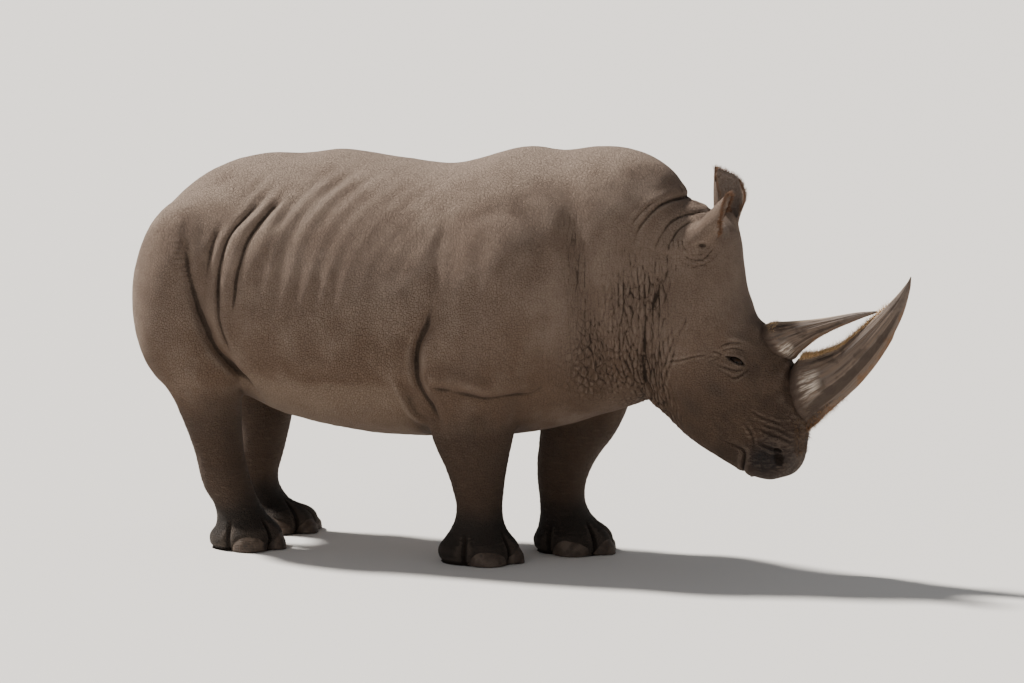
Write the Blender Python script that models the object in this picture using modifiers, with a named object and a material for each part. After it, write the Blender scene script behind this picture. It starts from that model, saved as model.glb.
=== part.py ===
"""A life-size adult white rhinoceros, standing square with its head lowered.

Run it with:  blender --background --python part.py

X runs from the tail to the nose, Y to the animal's left and Z up, in metres, with the soles on Z = 0.
The flesh is one closed body: lofts for the trunk, head and legs are joined by a voxel remesh and
relaxed. Horns, ears, eyes, tail and toenails are pieces of their own, seated in pockets of that body.
Planes then part the body into the pieces that a person would name, with a thin gap between them.
"""

from collections import namedtuple
from math import cos, pi, radians, sin

import bmesh
import bpy
import numpy as np
from mathutils import Matrix, Vector

# Clearance between pieces that touch.
GAP = 0.0003
HALF_GAP = GAP / 2

HIDE_COLOUR = (0.235, 0.190, 0.160)
FOOT_COLOUR = (0.120, 0.090, 0.072)
HORN_COLOUR = (0.330, 0.265, 0.210)
NAIL_COLOUR = (0.170, 0.125, 0.095)
EYE_COLOUR = (0.015, 0.010, 0.008)

# A station is a closed section between two points of the middle plane (x, z). half_width is its
# greatest half width, widest moves that level towards the top (+) or the low end (-), and square is
# the exponent of the outline, where 2 is an ellipse and more is boxier.
Station = namedtuple("Station", "top low half_width widest square")

TRUNK = [
    Station((-1.640, 1.225), (-1.645, 0.980), 0.225, 0.00, 2.2),
    Station((-1.555, 1.388), (-1.580, 0.840), 0.330, 0.00, 2.2),
    Station((-1.365, 1.572), (-1.430, 0.700), 0.390, -0.05, 2.2),
    Station((-1.130, 1.652), (-1.200, 0.630), 0.415, -0.12, 2.1),
    Station((-0.830, 1.668), (-0.930, 0.540), 0.450, -0.18, 2.1),
    Station((-0.530, 1.658), (-0.580, 0.495), 0.475, -0.22, 2.1),
    Station((-0.260, 1.640), (-0.280, 0.495), 0.465, -0.22, 2.1),
    Station((0.040, 1.715), (0.020, 0.515), 0.420, -0.18, 2.1),
    Station((0.250, 1.712), (0.240, 0.560), 0.375, -0.16, 2.1),
    Station((0.430, 1.728), (0.400, 0.615), 0.325, -0.15, 2.1),
    Station((0.570, 1.704), (0.510, 0.650), 0.292, -0.12, 2.1),
    Station((0.698, 1.638), (0.590, 0.680), 0.260, -0.10, 2.1),
    Station((0.762, 1.540), (0.640, 0.710), 0.236, -0.06, 2.2),
    Station((0.800, 1.480), (0.680, 0.740), 0.200, -0.06, 2.2),
]
RUMP_DOME = 0.040

HEAD = [
    Station((0.740, 1.505), (0.580, 0.800), 0.170, 0.00, 2.2),
    Station((0.810, 1.512), (0.640, 0.690), 0.215, -0.05, 2.2),
    Station((0.962, 1.422), (0.710, 0.625), 0.215, -0.15, 2.3),
    Station((1.003, 1.290), (0.775, 0.570), 0.205, -0.20, 2.4),
    Station((1.020, 1.170), (0.850, 0.515), 0.200, -0.15, 2.5),
    Station((1.055, 1.060), (0.925, 0.475), 0.190, -0.05, 2.6),
    Station((1.125, 0.960), (1.000, 0.435), 0.172, 0.00, 2.6),
    Station((1.195, 0.860), (1.065, 0.405), 0.152, -0.05, 2.6),
    Station((1.245, 0.740), (1.115, 0.392), 0.145, -0.15, 2.6),
    Station((1.278, 0.620), (1.168, 0.390), 0.147, -0.10, 2.6),
    Station((1.278, 0.525), (1.215, 0.405), 0.130, 0.00, 2.6),
]
MUZZLE_DOME = 0.025

HORN_FRONT = [
    Station((1.195, 0.820), (1.225, 0.600), 0.088, 0.00, 2.0),
    Station((1.265, 0.890), (1.300, 0.605), 0.106, 0.00, 2.0),
    Station((1.330, 0.905), (1.380, 0.672), 0.088, 0.00, 2.0),
    Station((1.430, 0.945), (1.470, 0.755), 0.067, 0.00, 2.0),
    Station((1.520, 1.018), (1.575, 0.875), 0.050, 0.00, 2.0),
    Station((1.600, 1.090), (1.652, 0.990), 0.036, 0.00, 2.0),
    Station((1.665, 1.155), (1.700, 1.090), 0.024, 0.00, 2.0),
    Station((1.712, 1.212), (1.727, 1.185), 0.011, 0.00, 2.0),
    Station((1.731, 1.243), (1.733, 1.239), 0.002, 0.00, 2.0),
]
HORN_REAR = [
    Station((1.050, 1.020), (1.140, 0.860), 0.070, 0.00, 2.0),
    Station((1.130, 1.030), (1.224, 0.880), 0.083, 0.00, 2.0),
    Station((1.195, 1.034), (1.273, 0.925), 0.065, 0.00, 2.0),
    Station((1.285, 1.046), (1.332, 0.973), 0.047, 0.00, 2.0),
    Station((1.390, 1.064), (1.418, 1.018), 0.031, 0.00, 2.0),
    Station((1.500, 1.087), (1.513, 1.059), 0.017, 0.00, 2.0),
    Station((1.590, 1.097), (1.592, 1.091), 0.003, 0.00, 2.0),
]

# Legs are lofts of level sections: height, half length and half width.
FORE_LEG = [
    (1.180, 0.250, 0.120),
    (0.980, 0.265, 0.150),
    (0.800, 0.235, 0.160),
    (0.660, 0.198, 0.150),
    (0.520, 0.168, 0.135),
    (0.400, 0.128, 0.120),
    (0.300, 0.104, 0.108),
    (0.220, 0.094, 0.102),
    (0.150, 0.108, 0.112),
    (0.090, 0.142, 0.128),
    (0.030, 0.160, 0.138),
    (-0.040, 0.160, 0.138),
]
HIND_LEG = [
    (1.300, 0.220, 0.120),
    (1.080, 0.262, 0.155),
    (0.900, 0.235, 0.165),
    (0.750, 0.192, 0.150),
    (0.630, 0.146, 0.132),
    (0.500, 0.116, 0.116),
    (0.400, 0.103, 0.105),
    (0.300, 0.104, 0.101),
    (0.240, 0.102, 0.100),
    (0.180, 0.096, 0.102),
    (0.120, 0.110, 0.112),
    (0.080, 0.132, 0.122),
    (0.030, 0.146, 0.130),
    (-0.040, 0.146, 0.130),
]
LEG_SQUARE = 2.2

# Each leg's axis: (x, distance from the middle plane) of each section above.
FORE_RIGHT_AXIS = [
    (0.050, 0.240), (0.030, 0.270), (-0.020, 0.280), (-0.062, 0.268), (-0.074, 0.250), (-0.066, 0.232),
    (-0.060, 0.220), (-0.060, 0.210), (-0.066, 0.205), (-0.072, 0.200), (-0.068, 0.200), (-0.068, 0.200),
]
FORE_LEFT_AXIS = [
    (0.120, 0.240), (0.160, 0.270), (0.200, 0.278), (0.230, 0.262), (0.208, 0.242), (0.164, 0.222),
    (0.145, 0.208), (0.148, 0.198), (0.168, 0.192), (0.192, 0.190), (0.204, 0.190), (0.204, 0.190),
]
HIND_RIGHT_AXIS = [
    (-1.340, 0.230), (-1.355, 0.255), (-1.350, 0.262), (-1.325, 0.260), (-1.282, 0.256),
    (-1.255, 0.250), (-1.235, 0.244), (-1.212, 0.240), (-1.192, 0.238), (-1.155, 0.236),
    (-1.130, 0.235), (-1.116, 0.235), (-1.120, 0.235), (-1.120, 0.235),
]
HIND_LEFT_AXIS = [
    (-1.345, 0.230), (-1.365, 0.255), (-1.360, 0.262), (-1.335, 0.260), (-1.285, 0.256),
    (-1.252, 0.250), (-1.258, 0.244), (-1.285, 0.240), (-1.298, 0.238), (-1.280, 0.236),
    (-1.240, 0.235), (-1.185, 0.235), (-1.165, 0.235), (-1.165, 0.235),
]
LEGS = {
    "fore_right": (-1, FORE_LEG, FORE_RIGHT_AXIS),
    "fore_left": (1, FORE_LEG, FORE_LEFT_AXIS),
    "hind_right": (-1, HIND_LEG, HIND_RIGHT_AXIS),
    "hind_left": (1, HIND_LEG, HIND_LEFT_AXIS),
}

# The tail hangs in the cleft of the rump: (x, z, radius) from its root to its end.
TAIL = [
    (-1.560, 1.340, 0.048),
    (-1.628, 1.245, 0.044),
    (-1.662, 1.130, 0.038),
    (-1.658, 1.000, 0.032),
    (-1.622, 0.880, 0.027),
    (-1.568, 0.780, 0.022),
    (-1.535, 0.720, 0.015),
]

EYE_RADIUS = 0.030
EYE_CENTRE = (1.044, 0.145, 0.885)

EAR_LENGTH = 0.255
EAR_THICKNESS = 0.011
EAR_ROOT_RADIUS = 0.045
EAR_MOUTH_RADIUS = 0.072
EAR_WRAP_ROOT = 165
EAR_WRAP_TIP = 75
EAR_TIP_FALL = 0.36
EAR_TIP_POWER = 2.2
EAR_GRID = (8, 9)
EAR_POCKET_RING = 20
EAR_POCKET_ROWS = 4
EAR_POCKET_GAP = 0.0016
EAR_POCKET_DEPTH = 0.55
# root, axis, the way the cup opens, and how far round from the cup's back the tip stands (-1 to 1).
EARS = {
    "ear_right": ((0.865, -0.112, 1.372), (0.76, -0.12, 0.64), (0.50, 0.55, -0.60), 0.55),
    "ear_left": ((0.900, 0.098, 1.385), (0.07, 0.22, 0.97), (0.66, -0.75, 0.05), -0.45),
}

# Muscle masses, one on each side: centre, half sizes and tilt about Y in degrees.
Mass = namedtuple("Mass", "centre half tilt")
MASSES = [
    Mass((0.030, 0.238, 1.060), (0.340, 0.208, 0.440), 8),
    Mass((-0.090, 0.285, 0.800), (0.190, 0.150, 0.210), -20),
    Mass((-1.365, 0.235, 1.060), (0.262, 0.205, 0.420), 4),
    Mass((-1.240, 0.290, 0.820), (0.170, 0.130, 0.230), 25),
    Mass((0.800, 0.075, 0.860), (0.170, 0.140, 0.230), 28),
]

# Toenails: angle round the foot from straight ahead, half depth, half width, half height, centre height.
NAILS = {
    "inner": (62, 0.032, 0.064, 0.050, 0.032),
    "middle": (0, 0.032, 0.062, 0.052, 0.034),
    "outer": (-62, 0.032, 0.064, 0.050, 0.032),
}
# How far each foot is turned about its own axis, to the animal's left.
FOOT_TURN = {"fore_right": 8, "fore_left": -12, "hind_right": 3, "hind_left": -16}
NAIL_SEAT = 0.92

# Planes through the body: a point (x, z) in the middle plane and the slope of the cut from vertical.
HEAD_PLANE = ((0.715, 1.100), 14)
NECK_PLANE = ((0.420, 1.100), 8)
JAW_PLANE = ((0.880, 0.625), 136)

# The wedge round each upper leg: x at its back and front, then its top's height at the inner and outer
# edges, which lie at LEG_INNER and LEG_OUTER from the middle plane. It reaches further forward at the
# foot, by FOOT_REACH.
LEG_INNER = 0.050
LEG_OUTER = 0.650
FOOT_REACH = 0.200
BELOW_FLOOR = -0.100
LEG_WEDGES = {
    "fore_right": (-0.310, 0.205, 0.500, 0.800),
    "fore_left": (-0.060, 0.510, 0.530, 0.800),
    "hind_right": (-1.800, -1.080, 0.620, 1.300),
    "hind_left": (-1.800, -1.080, 0.620, 1.300),
}
KNEE_HEIGHT = {"fore": 0.360, "hind": 0.340}
FOOT_HEIGHT = 0.140
FAR = 6.0

VOXEL = 0.020
SMOOTH_STEPS = 8
SMOOTH_SHARE = 0.5
FLESH_FACES = 2900

RING = 32
STEPS_PER_STATION = 4
HORN_RING = 14
HORN_STEPS = 2
TAIL_STEPS = 2
# Angles of the rings in a dome that closes the end of a loft.
DOME_ANGLES = (30, 55, 76)
# Subdivisions of the balls for eyes and nails, and for muscle masses.
BALL_DETAIL = 2
MASS_DETAIL = 3


def reset():
    for item in list(bpy.data.objects):
        bpy.data.objects.remove(item, do_unlink=True)


def collection(name):
    made = bpy.data.collections.new(name)
    bpy.context.scene.collection.children.link(made)
    return made


def material(name, colour, roughness):
    made = bpy.data.materials.new(name)
    made.use_nodes = True
    shader = made.node_tree.nodes["Principled BSDF"]
    shader.inputs["Base Color"].default_value = (*colour, 1.0)
    shader.inputs["Roughness"].default_value = roughness
    shader.inputs["Metallic"].default_value = 0.0
    return made


def catmull_rom(rows, steps):
    """Rows of numbers read along a Catmull-Rom curve, steps times between each pair of rows."""
    rows = np.asarray(rows, float)
    padded = np.vstack([2 * rows[0] - rows[1], rows, 2 * rows[-1] - rows[-2]])
    t = np.linspace(0, 1, steps, endpoint=False)[:, None]
    pieces = []
    for k in range(len(rows) - 1):
        a, b, c, d = padded[k:k + 4]
        pieces.append(0.5 * (2 * b + (c - a) * t + (2 * a - 5 * b + 4 * c - d) * t**2
                             + (3 * b - a - 3 * c + d) * t**3))
    return np.vstack(pieces + [rows[-1:]])


def rounded(value, square):
    """A cosine or sine turned into that of a superellipse."""
    return np.sign(value) * np.abs(value) ** (2 / square)


def station_rings(stations, grow=0.0, steps=STEPS_PER_STATION, ring=RING):
    """Rings of points for a loft through stations, each made larger all round by grow."""
    rows = [(*s.top, *s.low, s.half_width, s.widest, s.square) for s in stations]
    theta = np.linspace(0, 2 * pi, ring, endpoint=False)
    rings = []
    for top_x, top_z, low_x, low_z, half_width, widest, square in catmull_rom(rows, steps):
        middle = np.array([(top_x + low_x) / 2, 0.0, (top_z + low_z) / 2])
        half = np.array([(top_x - low_x) / 2, 0.0, (top_z - low_z) / 2])
        half *= 1 + grow / np.linalg.norm(half)
        up = rounded(np.cos(theta), square)
        up = up + widest * (1 - up**2)
        side = rounded(np.sin(theta), square) * (half_width + grow)
        rings.append(middle + up[:, None] * half + side[:, None] * np.array([0.0, 1.0, 0.0]))
    return rings


def leg_rings(side, sections, axis):
    """Level rings for a leg on the side given by side, from the top down."""
    rows = [(x, side * y, z, a, b) for (z, a, b), (x, y) in zip(sections, axis)]
    theta = np.linspace(0, 2 * pi, RING, endpoint=False)
    rings = []
    for x, y, z, half_length, half_width in catmull_rom(rows, STEPS_PER_STATION):
        along = x + rounded(np.cos(theta), LEG_SQUARE) * half_length
        across = y + rounded(np.sin(theta), LEG_SQUARE) * half_width
        rings.append(np.stack([along, across, np.full(RING, z)], axis=1))
    return rings


def tail_rings(grow=0.0, ring=10):
    """Rings across the tail's curved axis."""
    rows = catmull_rom(TAIL, TAIL_STEPS)
    rings = []
    theta = np.linspace(0, 2 * pi, ring, endpoint=False)
    for k, (x, z, radius) in enumerate(rows):
        ahead = rows[min(k + 1, len(rows) - 1)] - rows[max(k - 1, 0)]
        tangent = np.array([ahead[0], 0.0, ahead[1]]) / np.hypot(ahead[0], ahead[1])
        across = np.array([-tangent[2], 0.0, tangent[0]])
        offset = np.cos(theta)[:, None] * across + np.sin(theta)[:, None] * np.array([0.0, 1.0, 0.0])
        rings.append(np.array([x, 0.0, z]) + offset * (radius + grow))
    return rings


def domed(rings, depth, at_start):
    """Rings that close one end of a loft as a low dome."""
    last, before = (rings[0], rings[1]) if at_start else (rings[-1], rings[-2])
    centre = last.mean(axis=0)
    outward = centre - before.mean(axis=0)
    outward /= np.linalg.norm(outward)
    added = [centre + (last - centre) * cos(a) + outward * depth * sin(a)
             for a in (radians(angle) for angle in DOME_ANGLES)]
    return added[::-1] + rings if at_start else rings + added


def lengthened(rings, grow):
    """Rings whose first one is moved outwards, so that the flat end gets clearance too."""
    outward = rings[0].mean(axis=0) - rings[1].mean(axis=0)
    return [rings[0] + outward / np.linalg.norm(outward) * grow] + rings[1:]


def loft_mesh(name, rings):
    """A closed mesh through rings of equal length, with flat ends.

    Its quads are split the same way in every loft, so a pocket keeps its clearance all over.
    """
    mesh = bpy.data.meshes.new(name)
    count = len(rings[0])
    faces = [[k * count + i, k * count + (i + 1) % count,
              (k + 1) * count + (i + 1) % count, (k + 1) * count + i]
             for k in range(len(rings) - 1) for i in range(count)]
    last = (len(rings) - 1) * count
    faces.append(list(range(count))[::-1])
    faces.append([last + i for i in range(count)])
    mesh.from_pydata(np.vstack(rings).tolist(), [], faces)
    tidy = bmesh.new()
    tidy.from_mesh(mesh)
    bmesh.ops.recalc_face_normals(tidy, faces=tidy.faces)
    bmesh.ops.triangulate(tidy, faces=tidy.faces, quad_method="FIXED")
    tidy.to_mesh(mesh)
    tidy.free()
    return mesh


def add_object(name, mesh, where):
    item = bpy.data.objects.new(name, mesh)
    where.objects.link(item)
    return item


def add_cutter(name, mesh):
    item = add_object(name, mesh, cutters)
    item.hide_render = True
    item.display_type = "WIRE"
    return item


def bake(item):
    """Replace an object's mesh by its evaluated one, and drop its modifiers."""
    graph = bpy.context.evaluated_depsgraph_get()
    old = item.data
    made = bpy.data.meshes.new_from_object(item.evaluated_get(graph), depsgraph=graph)
    item.modifiers.clear()
    item.data = made
    made.name = item.name
    bpy.data.meshes.remove(old)
    return item


def boolean(item, operation, cutter):
    modifier = item.modifiers.new(operation.title(), "BOOLEAN")
    modifier.operation = operation
    modifier.solver = "EXACT"
    modifier.object = cutter
    return bake(item)


def seat(body, name, mesh):
    """Cut from body the pocket that a piece sits in."""
    cutter = add_cutter(name + "_pocket", mesh)
    boolean(body, "DIFFERENCE", cutter)
    bpy.data.objects.remove(cutter, do_unlink=True)


def join_meshes(name, meshes):
    """One mesh that holds all the faces of several."""
    joined = bmesh.new()
    for mesh in meshes:
        joined.from_mesh(mesh)
        bpy.data.meshes.remove(mesh)
    made = bpy.data.meshes.new(name)
    joined.to_mesh(made)
    joined.free()
    return made


def mass_mesh(mass, side):
    """An ellipsoid under the hide."""
    x, y, z = mass.centre
    place = Matrix.Translation((x, side * y, z)) @ Matrix.Rotation(radians(mass.tilt), 4, "Y")
    ball = bmesh.new()
    bmesh.ops.create_icosphere(ball, subdivisions=MASS_DETAIL, radius=1.0,
                               matrix=place @ Matrix.Diagonal((*mass.half, 1.0)))
    mesh = bpy.data.meshes.new("mass")
    ball.to_mesh(mesh)
    ball.free()
    return mesh


def build_flesh():
    """Trunk, head and legs as one relaxed skin, with flat soles."""
    parts = [loft_mesh("trunk", domed(station_rings(TRUNK), RUMP_DOME, True)),
             loft_mesh("head", domed(station_rings(HEAD), MUZZLE_DOME, False))]
    parts += [loft_mesh(name, leg_rings(*leg)) for name, leg in LEGS.items()]
    parts += [mass_mesh(mass, side) for mass in MASSES for side in (-1, 1)]
    flesh = add_object("flesh", join_meshes("flesh", parts), rhino)
    remesh = flesh.modifiers.new("Join", "REMESH")
    remesh.mode = "VOXEL"
    remesh.voxel_size = VOXEL
    relax = flesh.modifiers.new("Relax", "SMOOTH")
    relax.factor = SMOOTH_SHARE
    relax.iterations = SMOOTH_STEPS
    bake(flesh)
    triangles = sum(len(p.vertices) - 2 for p in flesh.data.polygons)
    thin = flesh.modifiers.new("Thin", "DECIMATE")
    thin.ratio = FLESH_FACES / triangles
    bake(flesh)
    floor = add_cutter("floor", half_space((0, 0, 0), (0, 0, -1), 0.0))
    boolean(flesh, "DIFFERENCE", floor)
    return flesh, floor


def block_mesh(name, corners):
    """A closed solid from eight corners: four round its base, then four above them in the same order."""
    mesh = bpy.data.meshes.new(name)
    block = bmesh.new()
    verts = [block.verts.new(corner) for corner in corners]
    for face in ((3, 2, 1, 0), (4, 5, 6, 7), (0, 1, 5, 4), (1, 2, 6, 5), (2, 3, 7, 6), (3, 0, 4, 7)):
        block.faces.new([verts[i] for i in face])
    bmesh.ops.recalc_face_normals(block, faces=block.faces)
    block.to_mesh(mesh)
    block.free()
    return mesh


def take(body, name, inside, outside, skin):
    """Make the part of body inside one solid a piece, and leave body what is outside a larger one."""
    piece = add_object(name, body.data.copy(), rhino)
    first = add_cutter(name + "_keep", inside)
    boolean(piece, "INTERSECT", first)
    second = add_cutter(name + "_drop", outside)
    boolean(body, "DIFFERENCE", second)
    bpy.data.objects.remove(first, do_unlink=True)
    bpy.data.objects.remove(second, do_unlink=True)
    return dress(piece, skin)


def half_space(point, normal, shift):
    """A very large box on the side of a plane that its normal points to, moved along the normal."""
    turn = Vector(normal).to_track_quat("Z", "Y").to_matrix().to_4x4()
    centre = Vector(point) + Vector(normal).normalized() * (shift + FAR / 2)
    mesh = bpy.data.meshes.new("half_space")
    box = bmesh.new()
    bmesh.ops.create_cube(box, size=FAR, matrix=Matrix.Translation(centre) @ turn)
    box.to_mesh(mesh)
    box.free()
    return mesh


def take_side(body, name, point, normal, skin):
    """Make the part of body on the normal's side of a plane a piece."""
    return take(body, name, half_space(point, normal, HALF_GAP), half_space(point, normal, -HALF_GAP), skin)


def slanted(plane):
    """A point and a normal in the middle plane, from a cut's point and its slope from vertical."""
    (x, z), slope = plane
    return (x, 0.0, z), (cos(radians(slope)), 0.0, -sin(radians(slope)))


def wedge(name, side, grow):
    """The solid round an upper leg and all below it."""
    back, front, inner_top, outer_top = LEG_WEDGES[name]
    back -= grow
    front += grow
    inner_y = side * (LEG_INNER - grow)
    outer_y = side * (LEG_OUTER + grow)
    corners = []
    for inner_z, outer_z, reach in ((BELOW_FLOOR, BELOW_FLOOR, front + FOOT_REACH),
                                    (inner_top + grow, outer_top + grow, front)):
        corners += [(back, inner_y, inner_z), (reach, inner_y, inner_z),
                    (reach, outer_y, outer_z), (back, outer_y, outer_z)]
    return block_mesh(name, corners)


def dress(item, skin):
    """Give an object its material."""
    item.data.materials.clear()
    item.data.materials.append(skin)
    return item


def ball_mesh(name, matrix):
    mesh = bpy.data.meshes.new(name)
    ball = bmesh.new()
    bmesh.ops.create_icosphere(ball, subdivisions=BALL_DETAIL, radius=1.0, matrix=matrix)
    ball.to_mesh(mesh)
    ball.free()
    return mesh


def eye_mesh(side, grow=0.0):
    x, y, z = EYE_CENTRE
    size = Matrix.Diagonal((*[EYE_RADIUS + grow] * 3, 1.0))
    return ball_mesh("eye", Matrix.Translation((x, side * y, z)) @ size)


def nail_mesh(leg, toe, grow=0.0):
    """A shield on the front of a foot, turned to face outwards from it."""
    side, sections, axis = LEGS[leg]
    _, half_length, half_width = sections[-1]
    x, y = axis[-1]
    angle, depth, width, height, lift = NAILS[toe]
    across = radians(-side * angle + FOOT_TURN[leg])
    reach = Vector((half_length * cos(across), half_width * sin(across), 0.0)) * NAIL_SEAT
    facing = Vector((cos(across) / half_length, sin(across) / half_width, 0.0)).to_track_quat("X", "Z")
    size = Matrix.Diagonal((depth + grow, width + grow, height + grow, 1.0))
    place = Matrix.Translation(Vector((x, side * y, lift)) + reach)
    return ball_mesh(f"nail_{leg}_{toe}", place @ facing.to_matrix().to_4x4() @ size)


def ear_frame(name):
    """An ear's root, its axis, the way its cup opens and the way across."""
    root, axis, opening = (Vector(value) for value in EARS[name][:3])
    along = axis.normalized()
    front = (opening - along * opening.dot(along)).normalized()
    return root, along, front, along.cross(front)


def ear_radius(u):
    return EAR_ROOT_RADIUS + (EAR_MOUTH_RADIUS - EAR_ROOT_RADIUS) * sin(u * pi / 2) ** 2


def ear_mesh(name):
    """The open shell of an ear, its middle surface rolled round its axis and cut to a rounded tip."""
    root, along, front, across = ear_frame(name)
    lean = EARS[name][3]
    rows, columns = EAR_GRID
    points = []
    for i in range(rows):
        u = i / (rows - 1)
        wrap = radians(EAR_WRAP_ROOT + (EAR_WRAP_TIP - EAR_WRAP_ROOT) * u)
        for j in range(columns):
            v = 2 * j / (columns - 1) - 1
            fall = EAR_TIP_FALL * (abs(v - lean) / (1 + abs(lean))) ** EAR_TIP_POWER
            reach = EAR_LENGTH * u * (1 - fall * u)
            outward = across * sin(v * wrap) - front * cos(v * wrap)
            points.append(root + along * reach + outward * ear_radius(u))
    faces = [(i * columns + j, i * columns + j + 1, (i + 1) * columns + j + 1, (i + 1) * columns + j)
             for i in range(rows - 1) for j in range(columns - 1)]
    mesh = bpy.data.meshes.new(name)
    mesh.from_pydata(points, [], faces)
    shell = add_cutter(name + "_shell", mesh)
    wall = shell.modifiers.new("Wall", "SOLIDIFY")
    wall.thickness = EAR_THICKNESS
    wall.offset = 0.0
    wall.use_even_offset = True
    bake(shell)
    made = shell.data.copy()
    bpy.data.objects.remove(shell, do_unlink=True)
    return made


def ear_pocket_mesh(name):
    """The round hole that an ear's root stands in, which is also the ear's canal."""
    root, along, front, across = ear_frame(name)
    theta = np.linspace(0, 2 * pi, EAR_POCKET_RING, endpoint=False)
    turn = np.outer(np.cos(theta), front) + np.outer(np.sin(theta), across)
    clearance = EAR_THICKNESS / 2 + EAR_POCKET_GAP
    rings = [np.array(root + along * (EAR_LENGTH * u - GAP * (u == 0)))
             + turn * (ear_radius(u) + clearance) for u in np.linspace(0, EAR_POCKET_DEPTH, EAR_POCKET_ROWS)]
    return loft_mesh(name + "_pocket", rings)


def seated(body, name, plain, grown, skin):
    """A piece and the pocket in body that it sits in."""
    seat(body, name, grown)
    return dress(add_object(name, plain, rhino), skin)


def build_head_pieces(flesh):
    horn = material("horn", HORN_COLOUR, 0.75)
    eye = material("eye", EYE_COLOUR, 0.15)
    hide = material("ear_hide", HIDE_COLOUR, 0.85)
    for name, stations in (("horn_front", HORN_FRONT), ("horn_rear", HORN_REAR)):
        plain = loft_mesh(name, station_rings(stations, 0.0, HORN_STEPS, HORN_RING))
        grown = loft_mesh(name, lengthened(station_rings(stations, GAP, HORN_STEPS, HORN_RING), GAP))
        seated(flesh, name, plain, grown, horn)
    for name, side in (("eye_right", -1), ("eye_left", 1)):
        seated(flesh, name, eye_mesh(side), eye_mesh(side, GAP), eye)
    for name in EARS:
        seated(flesh, name, ear_mesh(name), ear_pocket_mesh(name), hide)


def build_nails(flesh, floor):
    keratin = material("toenail", NAIL_COLOUR, 0.60)
    for leg in LEGS:
        for toe in NAILS:
            name = f"nail_{leg}_{toe}"
            seated(flesh, name, nail_mesh(leg, toe), nail_mesh(leg, toe, GAP), keratin)
            boolean(bpy.data.objects[name], "DIFFERENCE", floor)


def part_flesh(flesh):
    """Divide the flesh into head, jaw, neck, trunk and three lengths of each leg."""
    hide = material("hide", HIDE_COLOUR, 0.85)
    dark = material("foot_hide", FOOT_COLOUR, 0.85)
    for name, (side, _, _) in LEGS.items():
        inside, outside = wedge(name, side, -HALF_GAP), wedge(name, side, HALF_GAP)
        upper = take(flesh, "upper_leg_" + name, inside, outside, hide)
        kind = name.split("_")[0]
        lower = take_side(upper, "lower_leg_" + name, (0, 0, KNEE_HEIGHT[kind]), (0, 0, -1), hide)
        take_side(lower, "foot_" + name, (0, 0, FOOT_HEIGHT), (0, 0, -1), dark)
    head = take_side(flesh, "head", *slanted(HEAD_PLANE), hide)
    take_side(head, "lower_jaw", *slanted(JAW_PLANE), hide)
    take_side(flesh, "neck", *slanted(NECK_PLANE), hide)
    flesh.name = "trunk"
    dress(flesh, hide)


def main():
    flesh, floor = build_flesh()
    hide = material("tail_hide", HIDE_COLOUR, 0.85)
    build_head_pieces(flesh)
    build_nails(flesh, floor)
    grown = loft_mesh("tail_pocket", lengthened(tail_rings(GAP), GAP))
    seated(flesh, "tail", loft_mesh("tail", tail_rings()), grown, hide)
    part_flesh(flesh)
    bpy.data.objects.remove(floor, do_unlink=True)


reset()
rhino = collection("white_rhinoceros")
cutters = collection("cutters")
main()
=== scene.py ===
# %% [markdown]
# # A white rhinoceros, life size
#
# This lesson dresses the packed model of a standing rhinoceros. The model is the fixed frame: its
# solids say where the trunk, head, legs, ears, horns, eyes and toenails are. Here one skin is grown
# over all the flesh, the folds are pressed into it, and the hard parts get their own fine surfaces.
#
# X runs from tail to nose, Y to the animal's left and Z up, in metres, with the soles on Z = 0.

# %% Load the frame
from collections import namedtuple
from math import cos, pi, radians, sin

import bmesh
import bpy
import numpy as np
from mathutils import Matrix, Vector
from mathutils.kdtree import KDTree


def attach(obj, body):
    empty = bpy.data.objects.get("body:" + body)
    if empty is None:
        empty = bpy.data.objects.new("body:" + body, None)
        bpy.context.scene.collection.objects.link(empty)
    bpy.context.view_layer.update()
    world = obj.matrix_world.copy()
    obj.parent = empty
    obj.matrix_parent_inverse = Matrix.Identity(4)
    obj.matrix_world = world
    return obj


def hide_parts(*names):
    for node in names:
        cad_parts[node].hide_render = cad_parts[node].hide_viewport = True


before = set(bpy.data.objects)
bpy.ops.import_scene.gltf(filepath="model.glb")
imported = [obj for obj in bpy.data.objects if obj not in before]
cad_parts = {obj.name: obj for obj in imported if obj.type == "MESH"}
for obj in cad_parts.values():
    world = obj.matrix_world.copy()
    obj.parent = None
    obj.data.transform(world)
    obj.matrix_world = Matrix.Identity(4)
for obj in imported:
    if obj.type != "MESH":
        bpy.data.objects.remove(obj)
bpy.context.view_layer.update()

# %% [markdown]
# ## Small tools for curves, weights and noise
#
# Almost every shape below is a curve through a few rows of numbers, a soft weight that fades
# something in and out, or a patch of noise. A Catmull-Rom curve goes through its own points, so a
# row can be read straight off the animal. The noise mixes random values at the corners of a lattice,
# which is quick on whole arrays and the same on every run.

# %% Curves, weights and noise
def catmull_rom(rows, steps):
    """Rows of numbers read along a Catmull-Rom curve, steps times between each pair of rows."""
    rows = np.asarray(rows, float)
    padded = np.vstack([2 * rows[0] - rows[1], rows, 2 * rows[-1] - rows[-2]])
    t = np.linspace(0, 1, steps, endpoint=False)[:, None]
    pieces = []
    for k in range(len(rows) - 1):
        a, b, c, d = padded[k:k + 4]
        pieces.append(0.5 * (2 * b + (c - a) * t + (2 * a - 5 * b + 4 * c - d) * t**2
                             + (3 * b - a - 3 * c + d) * t**3))
    return np.vstack(pieces + [rows[-1:]])


def ramp(value, low, high):
    """0 below low, 1 above high, and a smooth S between them; low may be the greater."""
    t = np.clip((value - low) / (high - low), 0, 1)
    return t * t * (3 - 2 * t)


def rounded(value, square):
    """A cosine or sine turned into that of a superellipse."""
    return np.sign(value) * np.abs(value) ** (2 / square)


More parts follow.
